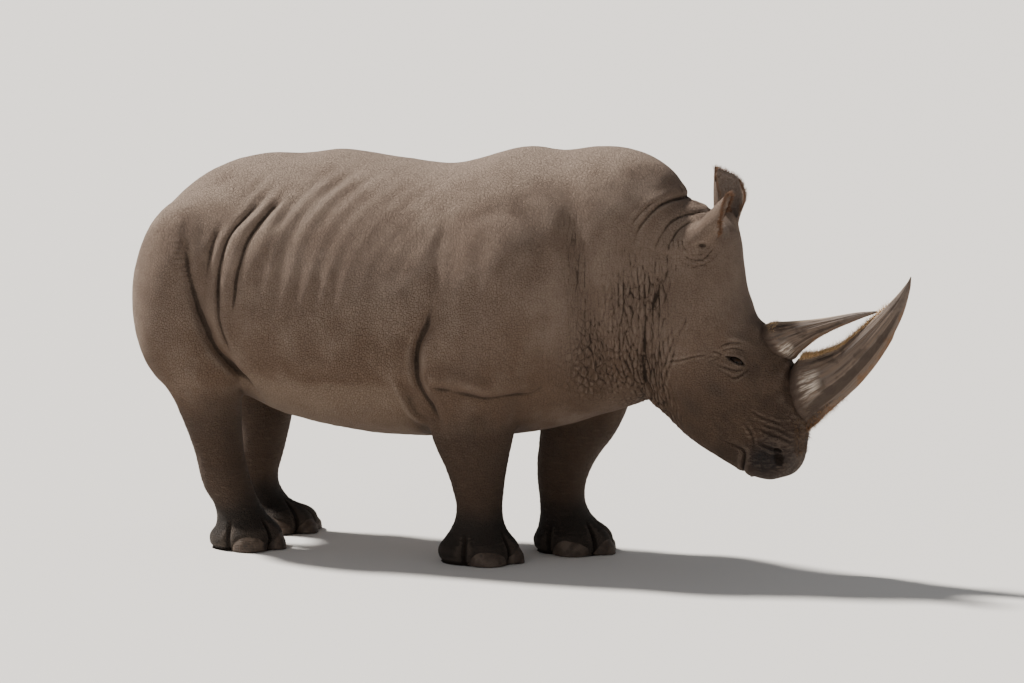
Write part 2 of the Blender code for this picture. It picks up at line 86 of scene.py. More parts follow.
def unit(vectors):
    return vectors / np.maximum(np.linalg.norm(vectors, axis=-1, keepdims=True), 1e-9)


# Large odd factors that scatter whole numbers: for the three axes, for the seed and for the sum.
AXIS_FACTORS, SEED_FACTOR, STIR_FACTOR = (374761393, 668265263, 2147483647), 144665, 1274126177


def hashed(cell, seed):
    """A repeatable value from 0 to 1 for each whole-number lattice corner."""
    mixed = sum(cell[..., k] * factor for k, factor in enumerate(AXIS_FACTORS)) + seed * SEED_FACTOR
    mixed = ((mixed ^ (mixed >> 13)) * STIR_FACTOR) & 0xFFFFFFFF
    return ((mixed ^ (mixed >> 16)) & 0xFFFF) / 0xFFFF


def noise(points, scale, seed=0):
    """Smooth noise from -1 to 1: random corner values of a lattice of cells 1/scale wide, blended."""
    place = points * scale
    corner = np.floor(place).astype(np.int64)
    t = place - corner
    t = t * t * (3 - 2 * t)
    total = np.zeros(len(points))
    for step in np.ndindex(2, 2, 2):
        total += np.prod(np.abs(t - 1 + np.array(step)), axis=1) * hashed(corner + np.array(step), seed)
    return 2 * total - 1


print("noise at three places", noise(np.eye(3), 1.7).round(2))

# %% [markdown]
# ## From points to meshes
#
# A surface here is a grid of points, row after row. If each row is a ring, its last point joins its
# first, and the two end rings are closed with one face each. The faces are worked out as one array.

# %% Meshes from grids of points
def grid_faces(rows, columns, closed):
    """Corner numbers of the quads of a grid, whose rows are rings if closed."""
    around = columns if closed else columns - 1
    i, j = np.meshgrid(np.arange(rows - 1), np.arange(around), indexing="ij")
    along = (j + 1) % columns
    return np.stack([i * columns + j, i * columns + along,
                     (i + 1) * columns + along, (i + 1) * columns + j], axis=-1).reshape(-1, 4)


def mesh_from(name, points, faces):
    mesh = bpy.data.meshes.new(name)
    mesh.from_pydata(np.asarray(points).reshape(-1, 3).tolist(), [], faces)
    mesh.validate()
    return mesh


def face_outwards(mesh):
    """Turns all faces of closed shells outwards."""
    tidy = bmesh.new()
    tidy.from_mesh(mesh)
    bmesh.ops.recalc_face_normals(tidy, faces=tidy.faces)
    tidy.to_mesh(mesh)
    tidy.free()
    return mesh


def loft(name, rings):
    """A closed mesh through rings of equal length, with one face over each end."""
    rings = np.asarray(rings)
    count = rings.shape[1]
    faces = grid_faces(len(rings), count, True).tolist()
    last = (len(rings) - 1) * count
    faces += [list(range(count))[::-1], [last + i for i in range(count)]]
    return face_outwards(mesh_from(name, rings, faces))


def new_object(name, mesh):
    item = bpy.data.objects.new(name, mesh)
    bpy.context.scene.collection.objects.link(item)
    return item


print("three rings of eight points make", len(grid_faces(3, 8, True)), "quads")

# %% [markdown]
# ## Reading and changing meshes
#
# Blender hands a mesh's numbers over as flat arrays, which is far quicker than visiting its points one
# by one. Modifiers cut, fuse and thin whole meshes, and their result then takes the mesh's place.

# %% Reading and changing meshes
def read(items, label, width, kind):
    """One array of a mesh's values, with width numbers for each item."""
    flat = np.empty(len(items) * width, kind)
    items.foreach_get(label, flat)
    return flat


def points_of(mesh):
    return read(mesh.vertices, "co", 3, np.float32).reshape(-1, 3).astype(float)


def normals_of(mesh):
    return read(mesh.vertex_normals, "vector", 3, np.float32).reshape(-1, 3).astype(float)


def corners_of(mesh):
    """The point number of each face corner."""
    return read(mesh.loops, "vertex_index", 1, np.int32)


def edges_of(mesh):
    return read(mesh.edges, "vertices", 2, np.int32).reshape(-1, 2)


def give_map(mesh, places):
    """Writes the OFBake map: two numbers for each face corner."""
    layer = mesh.uv_layers.new(name="OFBake")
    layer.data.foreach_set("uv", places.astype(np.float32).ravel())


def move_points(mesh, points):
    mesh.vertices.foreach_set("co", np.asarray(points, np.float32).ravel())
    mesh.update()


def bake(item):
    """Replaces an object's mesh by its evaluated one, and drops its modifiers."""
    graph = bpy.context.evaluated_depsgraph_get()
    made = bpy.data.meshes.new_from_object(item.evaluated_get(graph), depsgraph=graph)
    item.modifiers.clear()
    item.data = made
    return item


def join_meshes(name, meshes):
    joined = bmesh.new()
    for mesh in meshes:
        joined.from_mesh(mesh)
        bpy.data.meshes.remove(mesh)
    made = bpy.data.meshes.new(name)
    joined.to_mesh(made)
    joined.free()
    return made


def combine(item, operation, meshes):
    """A Boolean between an object and some closed meshes that lie apart, which are used up."""
    other = new_object("other", join_meshes("other", meshes))
    step = item.modifiers.new(operation.title(), "BOOLEAN")
    step.operation = operation
    step.solver = "MANIFOLD"
    step.object = other
    bake(item)
    bpy.data.objects.remove(other, do_unlink=True)
    return item


# %% [markdown]
# ## The body's own measures
#
# The skin must lie where the frame's solids lie, so it starts from the same driving sections. A
# station is a closed section between a top and a low point of the middle plane. Its greatest half
# width may sit nearer the top or the low end, and its outline is a superellipse: 2 is an ellipse and
# more is boxier. A station that gives neither is a plain ellipse.

# %% Sections of trunk and head
Station = namedtuple("Station", "top low half_width widest square", defaults=(0.0, 2.0))

TRUNK = [
    Station((-1.640, 1.225), (-1.645, 0.980), 0.225, 0.00, 2.2),
    Station((-1.555, 1.388), (-1.580, 0.840), 0.330, 0.00, 2.2),
    Station((-1.365, 1.572), (-1.430, 0.700), 0.390, -0.05, 2.2),
    Station((-1.130, 1.652), (-1.200, 0.630), 0.415, -0.12, 2.1),
    Station((-0.830, 1.668), (-0.930, 0.540), 0.450, -0.18, 2.1),
    Station((-0.530, 1.658), (-0.580, 0.495), 0.475, -0.22, 2.1),
    Station((-0.260, 1.640), (-0.280, 0.495), 0.465, -0.22, 2.1),
    Station((0.040, 1.715), (0.020, 0.515), 0.420, -0.18, 2.1),
    Station((0.250, 1.712), (0.240, 0.560), 0.375, -0.16, 2.1),
    Station((0.430, 1.728), (0.400, 0.615), 0.325, -0.15, 2.1),
    Station((0.570, 1.704), (0.510, 0.650), 0.292, -0.12, 2.1),
    Station((0.698, 1.638), (0.590, 0.680), 0.260, -0.10, 2.1),
    Station((0.762, 1.540), (0.640, 0.710), 0.236, -0.06, 2.2),
    Station((0.800, 1.480), (0.680, 0.740), 0.200, -0.06, 2.2),
]
HEAD = [
    Station((0.740, 1.505), (0.580, 0.800), 0.170, 0.00, 2.2),
    Station((0.810, 1.512), (0.640, 0.690), 0.215, -0.05, 2.2),
    Station((0.962, 1.422), (0.710, 0.625), 0.215, -0.15, 2.3),
    Station((1.003, 1.290), (0.775, 0.570), 0.205, -0.20, 2.4),
    Station((1.020, 1.170), (0.850, 0.515), 0.200, -0.15, 2.5),
    Station((1.055, 1.060), (0.925, 0.475), 0.190, -0.05, 2.6),
    Station((1.125, 0.960), (1.000, 0.435), 0.172, 0.00, 2.6),
    Station((1.195, 0.860), (1.065, 0.405), 0.152, -0.05, 2.6),
    Station((1.245, 0.740), (1.115, 0.392), 0.145, -0.15, 2.6),
    Station((1.278, 0.620), (1.168, 0.390), 0.147, -0.10, 2.6),
    Station((1.278, 0.525), (1.215, 0.405), 0.130, 0.00, 2.6),
]
RUMP_DOME, MUZZLE_DOME = 0.040, 0.025
print("stations", len(TRUNK), "trunk,", len(HEAD), "head")

# %% [markdown]
# ## Legs, tail and muscles
#
# A leg is a stack of level ovals on a bent axis. Both fore legs share their ovals, and so do the hind
# legs: only the axis differs with the step. Ellipsoids add the great muscles of shoulder and thigh.

# %% Sections of legs and tail
# Level sections: height, half length, half width.
FORE_LEG = [
    (1.180, 0.250, 0.120), (0.980, 0.265, 0.150), (0.800, 0.235, 0.160), (0.660, 0.198, 0.150),
    (0.520, 0.168, 0.135), (0.400, 0.128, 0.120), (0.300, 0.104, 0.108), (0.220, 0.094, 0.102),
    (0.150, 0.108, 0.112), (0.090, 0.142, 0.128), (0.030, 0.160, 0.138), (-0.040, 0.160, 0.138),
]
HIND_LEG = [
    (1.300, 0.220, 0.120), (1.080, 0.262, 0.155), (0.900, 0.235, 0.165), (0.750, 0.192, 0.150),
    (0.630, 0.146, 0.132), (0.500, 0.116, 0.116), (0.400, 0.103, 0.105), (0.300, 0.104, 0.101),
    (0.240, 0.102, 0.100), (0.180, 0.096, 0.102), (0.120, 0.110, 0.112), (0.080, 0.132, 0.122),
    (0.030, 0.146, 0.130), (-0.040, 0.146, 0.130),
]
LEG_SQUARE = 2.2

# Each leg's axis: (x, distance from the middle plane) of each section above.
FORE_RIGHT_AXIS = [
    (0.050, 0.240), (0.030, 0.270), (-0.020, 0.280), (-0.062, 0.268), (-0.074, 0.250), (-0.066, 0.232),
    (-0.060, 0.220), (-0.060, 0.210), (-0.066, 0.205), (-0.072, 0.200), (-0.068, 0.200), (-0.068, 0.200),
]
FORE_LEFT_AXIS = [
    (0.120, 0.240), (0.160, 0.270), (0.200, 0.278), (0.230, 0.262), (0.208, 0.242), (0.164, 0.222),
    (0.145, 0.208), (0.148, 0.198), (0.168, 0.192), (0.192, 0.190), (0.204, 0.190), (0.204, 0.190),
]
HIND_RIGHT_AXIS = [
    (-1.340, 0.230), (-1.355, 0.255), (-1.350, 0.262), (-1.325, 0.260), (-1.282, 0.256),
    (-1.255, 0.250), (-1.235, 0.244), (-1.212, 0.240), (-1.192, 0.238), (-1.155, 0.236),
    (-1.130, 0.235), (-1.116, 0.235), (-1.120, 0.235), (-1.120, 0.235),
]
HIND_LEFT_AXIS = [
    (-1.345, 0.230), (-1.365, 0.255), (-1.360, 0.262), (-1.335, 0.260), (-1.285, 0.256),
    (-1.252, 0.250), (-1.258, 0.244), (-1.285, 0.240), (-1.298, 0.238), (-1.280, 0.236),
    (-1.240, 0.235), (-1.185, 0.235), (-1.165, 0.235), (-1.165, 0.235),
]
LEGS = {
    "fore_right": (-1, FORE_LEG, FORE_RIGHT_AXIS),
    "fore_left": (1, FORE_LEG, FORE_LEFT_AXIS),
    "hind_right": (-1, HIND_LEG, HIND_RIGHT_AXIS),
    "hind_left": (1, HIND_LEG, HIND_LEFT_AXIS),
}
# The tail hangs in the cleft of the rump: (x, z, radius).
TAIL = [
    (-1.560, 1.340, 0.048), (-1.628, 1.245, 0.044), (-1.662, 1.130, 0.038), (-1.658, 1.000, 0.032),
    (-1.622, 0.880, 0.027), (-1.568, 0.780, 0.022), (-1.535, 0.720, 0.015),
]
# Muscle masses on both sides: centre, half sizes, tilt about Y in degrees.
MASSES = [
    ((0.030, 0.238, 1.060), (0.340, 0.208, 0.440), 8),
    ((-0.090, 0.285, 0.800), (0.190, 0.150, 0.210), -20),
    ((-1.365, 0.235, 1.060), (0.262, 0.205, 0.420), 4),
    ((-1.240, 0.290, 0.820), (0.170, 0.130, 0.230), 25),
    ((0.800, 0.075, 0.860), (0.170, 0.140, 0.230), 28),
]
print("legs", list(LEGS))

# %% [markdown]
# ## Rings from sections
#
# A loft goes through rings of points. One angle runs round each section, its cosine upwards and its
# sine to the side.

# %% Rings from sections
RING, STEPS = 64, 8


def station_rings(stations, ring=RING, steps=STEPS):
    """Rings through stations: middle point + cosine part x half height + sine part x half width."""
    rows = catmull_rom([(*s.top, *s.low, s.half_width, s.widest, s.square) for s in stations], steps)
    top, low = rows[:, 0:2], rows[:, 2:4]
    theta = np.linspace(0, 2 * pi, ring, endpoint=False)[None, :]
    square = rows[:, 6:7]
    up = rounded(np.cos(theta), square)
    up = up + rows[:, 5:6] * (1 - up**2)
    side = rounded(np.sin(theta), square) * rows[:, 4:5]
    middle, half = (top + low) / 2, (top - low) / 2
    return np.stack([middle[:, :1] + up * half[:, :1], side, middle[:, 1:] + up * half[:, 1:]], axis=-1)


def leg_rings(side, sections, axis):
    """Level rings for a leg, from the top down."""
    rows = catmull_rom([(x, side * y, z, a, b) for (z, a, b), (x, y) in zip(sections, axis)], STEPS)
    theta = np.linspace(0, 2 * pi, RING, endpoint=False)[None, :]
    x, y, z, a, b = (rows[:, k:k + 1] for k in range(5))
    along = x + rounded(np.cos(theta), LEG_SQUARE) * a
    across = y + rounded(np.sin(theta), LEG_SQUARE) * b
    return np.stack([along, across, z + 0 * theta], axis=-1)


def tube_rings(line, radii, ring, up=(0.0, 1.0, 0.0)):
    """Round rings across a line of points, kept from twisting by one fixed direction."""
    ahead = unit(np.gradient(line, axis=0))
    side = unit(np.cross(ahead, np.asarray(up)))
    over = np.cross(side, ahead)
    theta = np.linspace(0, 2 * pi, ring, endpoint=False)[None, :, None]
    turn = np.cos(theta) * side[:, None] + np.sin(theta) * over[:, None]
    return line[:, None] + turn * np.asarray(radii)[:, None, None]


DOME_ANGLES = (20, 40, 58, 74, 84)


def domed(rings, depth, at_start):
    """Closes one end of a loft with a low dome: the end ring shrinks as a cosine and moves as a sine."""
    last, before = (rings[0], rings[1]) if at_start else (rings[-1], rings[-2])
    centre = last.mean(axis=0)
    outward = unit(centre - before.mean(axis=0))
    angle = np.radians(DOME_ANGLES)[:, None, None]
    added = centre + (last - centre) * np.cos(angle) + outward * depth * np.sin(angle)
    return np.concatenate([added[::-1], rings] if at_start else [rings, added])


BALL_ROWS, BALL_RING, BALL_POLE = 24, 32, 0.02


def ball_points(centre, half, turn):
    """Rings of an ellipsoid: centre + turned (sin, cos) grid times its half sizes."""
    polar = np.linspace(BALL_POLE, pi - BALL_POLE, BALL_ROWS)[:, None]
    theta = np.linspace(0, 2 * pi, BALL_RING, endpoint=False)[None, :]
    shape = np.stack([np.sin(polar) * np.cos(theta), np.sin(polar) * np.sin(theta),
                      np.cos(polar) + 0 * theta], axis=-1) * np.asarray(half)
    return np.asarray(centre) + shape @ np.array(turn.to_3x3()).T


print("trunk rings", station_rings(TRUNK).shape)

# %% [markdown]
# ## One flesh from many lofts
#
# On the real animal the hide runs unbroken over trunk, neck, head and legs. Sculptors build such a
# body from overlapping volumes. Here each volume is a loft or an ellipsoid, a voxel remesh fuses
# them into one closed skin, and smoothing melts the joints. Stout stumps for the ears go in now, so that
# they grow out of the head.

# %% Fuse trunk, head, legs and tail
VOXEL, RELAX_STEPS = 0.005, 128
TAIL_STEPS, TAIL_RING, STUMP_RING = 6, 24, 32
EYE_RADIUS = 0.030
EYE_CENTRE = np.array([1.044, 0.145, 0.885])
LID_RADIUS = 0.0395
# Root, axis, the way the cup opens, how far round from the cup's back the tip stands (-1 to 1), the
# mouth's radius, and what the reach loses: everywhere, and away from the tip by a share and a power.
Ear = namedtuple("Ear", "root axis opening lean mouth trim fall power")
EARS = {
    "ear_right": Ear(root=(0.865, -0.112, 1.372), axis=(0.76, -0.12, 0.64), opening=(0.50, 0.55, -0.60),
                     lean=0.55, mouth=0.056, trim=0.10, fall=0.42, power=1.8),
    "ear_left": Ear(root=(0.900, 0.098, 1.385), axis=(0.07, 0.22, 0.97), opening=(0.66, -0.75, 0.05),
                    lean=-0.45, mouth=0.074, trim=0.00, fall=0.30, power=3.0),
}
EAR_LENGTH = 0.255
EAR_ROOT_RADIUS = 0.045
# The fleshy root that an ear's shell stands on: (share of the ear's length, radius).
EAR_STUMP = [(-0.40, 0.100), (-0.20, 0.086), (-0.02, 0.070), (0.14, 0.056), (0.26, 0.048), (0.34, 0.034)]


def ear_frame(name):
    """An ear's root, its axis, the way its cup opens and the way across."""
    root, axis, opening = (np.array(value) for value in EARS[name][:3])
    along = unit(axis)
    front = unit(opening - along * (opening @ along))
    return root, along, front, np.cross(along, front)


def tilt_about_y(degrees):
    return Matrix.Rotation(radians(degrees), 4, "Y")


def build_flesh():
    volumes = [loft("trunk", domed(station_rings(TRUNK), RUMP_DOME, True)),
               loft("head", domed(station_rings(HEAD), MUZZLE_DOME, False))]
    volumes += [loft(name, leg_rings(*leg)) for name, leg in LEGS.items()]
    for name in EARS:
        root, along, _, _ = ear_frame(name)
        line = root + along * EAR_LENGTH * np.array(EAR_STUMP)[:, :1]
        radii = np.array(EAR_STUMP)[:, 1]
        volumes.append(loft("stump", tube_rings(line, radii, STUMP_RING, up=(0.3, 0.9, 0.1))))
    tail = catmull_rom(TAIL, TAIL_STEPS)
    line = np.stack([tail[:, 0], 0 * tail[:, 0], tail[:, 1]], axis=1)
    volumes.append(loft("tail", tube_rings(line, tail[:, 2], TAIL_RING)))
    for side in (-1, 1):
        mirror = np.array([1, side, 1])
        volumes += [loft("mass", ball_points(np.array(centre) * mirror, half, tilt_about_y(tilt)))
                    for centre, half, tilt in MASSES]
    skin = new_object("skin", join_meshes("skin", volumes))
    fuse = skin.modifiers.new("Fuse", "REMESH")
    fuse.mode = "VOXEL"
    fuse.voxel_size = VOXEL
    relax = skin.modifiers.new("Relax", "SMOOTH")
    relax.factor = 0.5
    relax.iterations = RELAX_STEPS
    return bake(skin)


skin = build_flesh()
print("flesh", len(skin.data.vertices), "points")

# %% [markdown]
# ## Pressing forms into the skin
#
# Bones, muscles and folds are moves of the skin's points along their normals. Each kind of form is a
# short formula. A swelling is a bell curve round a centre. A fold is a path in the side view: a bell
# shaped groove along it, with a soft roll of skin on one or both sides.

# %% Formulas for swellings and folds
Swell = namedtuple("Swell", "centre half tilt height")
Fold = namedtuple("Fold", "side rows depth width rolls reach")


def bell(points, centre, half, tilt=0.0):
    """exp(-q), q the squared distance from the centre in half sizes, tilted about Y; both sides alike."""
    x, y, z = points[:, 0] - centre[0], np.abs(points[:, 1]) - centre[1], points[:, 2] - centre[2]
    a = radians(tilt)
    along, over = x * cos(a) - z * sin(a), x * sin(a) + z * cos(a)
    return np.exp(-(along / half[0]) ** 2 - (y / half[1]) ** 2 - (over / half[2]) ** 2)


def place_on_path(x, z, rows):
    """Signed distance from a path in the side view, left of it positive, and the path's strength there."""
    best, signed, strength = np.full(len(x), 9.0), np.full(len(x), 9.0), np.zeros(len(x))
    for (ax, az, av), (bx, bz, bv) in zip(rows[:-1], rows[1:]):
        dx, dz = bx - ax, bz - az
        t = np.clip(((x - ax) * dx + (z - az) * dz) / (dx * dx + dz * dz), 0, 1)
        ex, ez = x - ax - t * dx, z - az - t * dz
        distance = np.hypot(ex, ez)
        closer = distance < best
        best = np.where(closer, distance, best)
        signed = np.where(closer, np.where(dx * ez - dz * ex >= 0, distance, -distance), signed)
        strength = np.where(closer, av + t * (bv - av), strength)
    return signed, strength


def fold_path(fold):
    return catmull_rom(fold.rows, 6)


def fold_height(points, normals, fold):
    """Rolls of q^2 exp(1 - q^2) at q reaches from a path that wanders a little, less a bell across it."""
    height = np.zeros(len(points))
    rows = fold_path(fold)
    wander, rate = 0.30 * fold.reach, 0.25 / fold.reach
    margin = 3.5 * max(fold.reach, fold.width)
    low, high = rows[:, :2].min(axis=0) - margin, rows[:, :2].max(axis=0) + margin
    x, z = points[:, 0], points[:, 2]
    for side in (fold.side,) if fold.side else (-1, 1):
        near = (x > low[0]) & (x < high[0]) & (z > low[1]) & (z < high[1]) & (points[:, 1] * side > -0.01)
        spots = points[near]
        signed, strength = place_on_path(x[near] + wander * noise(spots, rate, 51),
                                         z[near] + wander * noise(spots, rate, 52), rows)
        strength = np.clip(strength, 0, 1) * (0.80 + 0.45 * noise(spots, 2 * rate, 53))
        q = np.abs(signed) / fold.reach
        roll = np.where(signed > 0, fold.rolls[0], fold.rolls[1]) * q * q * np.exp(1 - q * q)
        facing = ramp(normals[near, 1] * side, -0.45, -0.10)
        shape = roll - fold.depth * np.exp(-(signed / fold.width) ** 2)
        height[near] += shape * strength * facing
    return height


print("a swelling, one half size out", bell(np.eye(3)[:1], (0, 0, 0), (1, 1, 1)).round(2))

# %% [markdown]
# ## Nets of wrinkles, and smoothing
#
# A net of wrinkles is the pattern of dried mud: seeds are scattered, each point belongs to the nearest,
# and the borders sink. Smoothing is plainer: each point moves towards the mean of its neighbours.

# %% Formulas for nets and smoothing
NO_WEIGHT = 1e-5
PAD_EDGE, PAD_LEVEL = 0.42, 0.7


def cells(points, weight, sizes, seed):
    """Weight x (pad - 0.7): pad is 0 midway between the two nearest of scattered seeds, and 1 inside."""
    height = np.zeros(len(points))
    near = weight > NO_WEIGHT
    place = points[near] / np.asarray(sizes)
    base = np.floor(place).astype(np.int64)
    first, second = np.full(near.sum(), 9.0), np.full(near.sum(), 9.0)
    for step in np.ndindex(3, 3, 3):
        corner = base + np.array(step) - 1
        spot = corner + np.stack([hashed(corner, seed + k) for k in range(3)], axis=1)
        away = np.linalg.norm(place - spot, axis=1)
        second = np.minimum(second, np.maximum(first, away))
        first = np.minimum(first, away)
    height[near] = weight[near] * (ramp(second - first, 0.0, PAD_EDGE) - PAD_LEVEL)
    return height


def relaxed(points, edges, weight, steps):
    """Moves each point a share, weight, of the way to its neighbours' mean, steps times."""
    count = len(points)
    degree = np.maximum(np.bincount(edges.ravel(), minlength=count), 1)[:, None]
    a, b = edges.T
    for _ in range(steps):
        total = np.stack([np.bincount(a, values[b], count) + np.bincount(b, values[a], count)
                          for values in points.T], axis=1)
        points = points + weight[:, None] * (total / degree - points)
    return points


print("pads at three places", cells(np.eye(3), np.ones(3), (1, 1, 1), 0).round(2))

# %% [markdown]
# ## Bones and muscles
#
# Seen in a low light, a rhinoceros's side is a map of what lies under the hide: the blade of the
# shoulder with a hollow before and behind it, the ribs as slanting ridges, the point of the hip,
# and on the head the brow, the cheekbone and the heavy chewing muscle.

# %% Broad forms
SWELLS = [
    Swell((0.020, 0.42, 0.900), (0.170, 0.30, 0.150), 0, 0.012),
    Swell((-1.180, 0.33, 1.500), (0.110, 0.20, 0.080), 30, 0.010),
    Swell((-1.430, 0.30, 1.300), (0.120, 0.25, 0.200), 0, 0.010),
    Swell((-1.340, 0.40, 0.980), (0.130, 0.30, 0.260), 10, 0.012),
    Swell((-1.235, 0.40, 0.735), (0.060, 0.20, 0.050), 0, 0.012),
    Swell((0.560, 0.10, 1.690), (0.120, 0.25, 0.060), 15, 0.006),
    # the spine: a dip before the hips and a rise over the loins
    Swell((-0.970, 0.00, 1.660), (0.090, 0.16, 0.060), 0, -0.008),
    Swell((-0.740, 0.00, 1.670), (0.150, 0.15, 0.070), 0, 0.014),
    Swell((-0.935, 0.36, 1.330), (0.040, 0.20, 0.075), 20, 0.012),
    # head: masseter, cheekbone, brow, temple hollow, bridge of the nose
    Swell((0.800, 0.22, 0.930), (0.095, 0.15, 0.190), 12, 0.016),
    Swell((0.975, 0.20, 1.010), (0.050, 0.12, 0.130), 22, 0.010),
    Swell((1.045, 0.16, 0.968), (0.060, 0.10, 0.022), 27, 0.011),
    Swell((0.990, 0.16, 1.180), (0.060, 0.10, 0.120), 10, -0.010),
    Swell((1.110, 0.17, 0.900), (0.050, 0.10, 0.050), 30, -0.006),
    Swell((0.960, 0.18, 0.760), (0.090, 0.12, 0.060), 40, -0.006),
    # muzzle: side of the upper lip, its front, the lower lip and the wing of the nostril
    Swell((1.130, 0.12, 0.460), (0.075, 0.10, 0.055), 20, 0.012),
    Swell((1.245, 0.06, 0.500), (0.050, 0.10, 0.060), 0, -0.006),
    Swell((1.000, 0.08, 0.490), (0.060, 0.09, 0.045), 35, 0.008),
    Swell((1.195, 0.13, 0.565), (0.055, 0.08, 0.018), 15, 0.010),
    Swell((1.035, 0.17, 0.925), (0.050, 0.06, 0.020), 23, 0.006),
]
# Collars of skin round the two horns: centre and half length in the side view, slope of the long axis,
# half width, height.
COLLARS = [((1.135, 0.948), 0.100, 63, 0.090, 0.014), ((1.235, 0.738), 0.135, 68, 0.108, 0.029)]
COLLAR_OUT, COLLAR_LEVEL, COLLAR_FALL = 0.12, 0.94, 0.36
RIB_PITCH, RIB_BEND = 0.098, 0.08


def rib_height(points):
    """Ridges that run down from the spine, slanting back: cosine of a bent x, fading at both ends."""
    x, z = points[:, 0], points[:, 2]
    slant = 0.16 * (z - 1.10) + 0.95 * RIB_BEND * np.logaddexp(0, (z - 1.36) / RIB_BEND)
    phase = (x - slant) / RIB_PITCH + 0.60 * noise(points, 2.6, 5)
    fade = ramp(z, 0.90, 1.16) * ramp(z, 1.66, 1.54) * ramp(x, -1.14, -1.00)
    fade = fade * (0.25 + 0.75 * ramp(x, -0.45, -0.75)) * ramp(x, -0.12, -0.30)
    return (0.0028 + 0.0034 * noise(points, 4.5, 8)) * np.cos(2 * pi * phase) * fade


def collar_height(points):
    """A level rise under each horn's root, which falls as a bell outside it and is a little uneven."""
    height = np.zeros(len(points))
    for (x, z), long, slope, half_width, rise in COLLARS:
        a = radians(slope)
        dx, dz = points[:, 0] - x, points[:, 2] - z
        along, out = dx * cos(a) - dz * sin(a), dx * sin(a) + dz * cos(a)
        ring = np.sqrt((along / long) ** 2 + (points[:, 1] / half_width) ** 2 + (out / COLLAR_OUT) ** 2)
        fall = np.exp(-(np.maximum(ring - COLLAR_LEVEL, 0) / COLLAR_FALL) ** 2)
        height += rise * fall * (1 + 0.45 * noise(points, 22, 44))
    return height


print(len(SWELLS), "swellings,", len(COLLARS), "collars")

# %% [markdown]
# ## The great folds
#
# Where shoulder and thigh slide under the thick hide, it hangs in deep folds, and the tail lies in a
# cleft. These go in with the broad forms, before anything finer.

# %% Broad folds, pressed in with the broad forms
BROAD_FOLDS = [
    # before and behind the shoulder blade
    Fold(0, [(0.195, 1.700, 0.2), (0.345, 1.478, 0.8), (0.404, 1.316, 1), (0.453, 1.108, 1),
             (0.493, 0.895, 0.9), (0.500, 0.760, 0.3)], 0.022, 0.055, (0.003, 0.004), 0.100),
    Fold(0, [(0.035, 1.480, 0.1), (0.015, 1.342, 1), (-0.010, 1.100, 0.8), (-0.020, 0.930, 0)],
             0.006, 0.045, (0.002, 0.002), 0.080),
    # the deep fold behind the shoulder, down to the elbow's pocket
    Fold(0, [(-0.120, 1.600, 0), (-0.140, 1.528, 0.04), (-0.164, 1.382, 0.10), (-0.168, 1.219, 0.18),
             (-0.188, 1.027, 0.45), (-0.226, 0.916, 0.85), (-0.238, 0.839, 1), (-0.232, 0.751, 1),
             (-0.200, 0.672, 0.8), (-0.160, 0.600, 0.2)], 0.034, 0.021, (0.014, 0.006), 0.055),
    Fold(0, [(-0.110, 1.560, 0), (-0.140, 1.400, 0.6), (-0.150, 1.200, 1), (-0.175, 1.050, 0.8),
             (-0.215, 0.920, 0)], 0.008, 0.055, (0.002, 0.002), 0.100),
    # thigh and belly
    Fold(0, [(-1.330, 1.420, 0), (-1.314, 1.356, 0.3), (-1.290, 1.231, 0.6), (-1.269, 1.136, 0.8),
             (-1.234, 1.007, 1), (-1.185, 0.902, 1), (-1.124, 0.806, 1), (-1.080, 0.735, 0.8),
             (-1.030, 0.660, 0.3)], 0.030, 0.020, (0.012, 0.004), 0.055),
]
# The cleft that the tail hangs in: distance from the middle plane, width, depth.
TAIL_CLEFT = (0.070, 0.032, 0.022)
ELBOW_POCKET = Swell((-0.275, 0.42, 0.690), (0.050, 0.20, 0.075), -10, 0.030)


def shape_broadly(mesh):
    points, normals = points_of(mesh), normals_of(mesh)
    height = rib_height(points) + collar_height(points)
    for swell in SWELLS:
        height += swell.height * bell(points, swell.centre, swell.half, swell.tilt)
    for fold in BROAD_FOLDS:
        height += fold_height(points, normals, fold)
    x, y, z = points.T
    middle, width, depth = TAIL_CLEFT
    cleft = ramp(x, -1.48, -1.60) * ramp(z, 0.70, 0.85) * ramp(z, 1.36, 1.22)
    height -= depth * np.exp(-((np.abs(y) - middle) / width) ** 2) * cleft
    height -= ELBOW_POCKET.height * bell(points, *ELBOW_POCKET[:3])
    move_points(mesh, points + normals * height[:, None])


shape_broadly(skin.data)
print("tallest point", round(points_of(skin.data)[:, 2].max(), 3))

# %% [markdown]
# ## Eyelids
#
# A rhinoceros's eye is small and lies under heavy lids. The skin round each eye is first pushed out
# to a dome a little larger than the ball, so that it covers the ball by a lid's thickness. Then an
# almond shaped plug is cut out of the dome. Its walls flare outwards, which gives the lids sloping rims.

# %% Cover the eyeballs and open the lids
EYE_SLOPE = -23.5
LID_SOFTNESS, LID_REACH = 170.0, 0.12
# The opening at four distances out from the ball's middle: half length, height above and below its line.
LID_OPENING = [(0.010, 0.036, 0.004, 0.009), (0.022, 0.046, 0.005, 0.014), (0.034, 0.052, 0.007, 0.018),
               (0.062, 0.064, 0.015, 0.028)]


def eye_frame(side):
    """The eye's centre, the way along the lids towards the nose, the way up across them, and outwards."""
    a = radians(EYE_SLOPE)
    outward = unit(np.array([0.20, side, 0.06]))
    line = np.array([cos(a), 0, sin(a)])
    along = unit(line - outward * (line @ outward))
    return EYE_CENTRE * np.array([1, side, 1]), along, np.cross(along, outward) * -side, outward


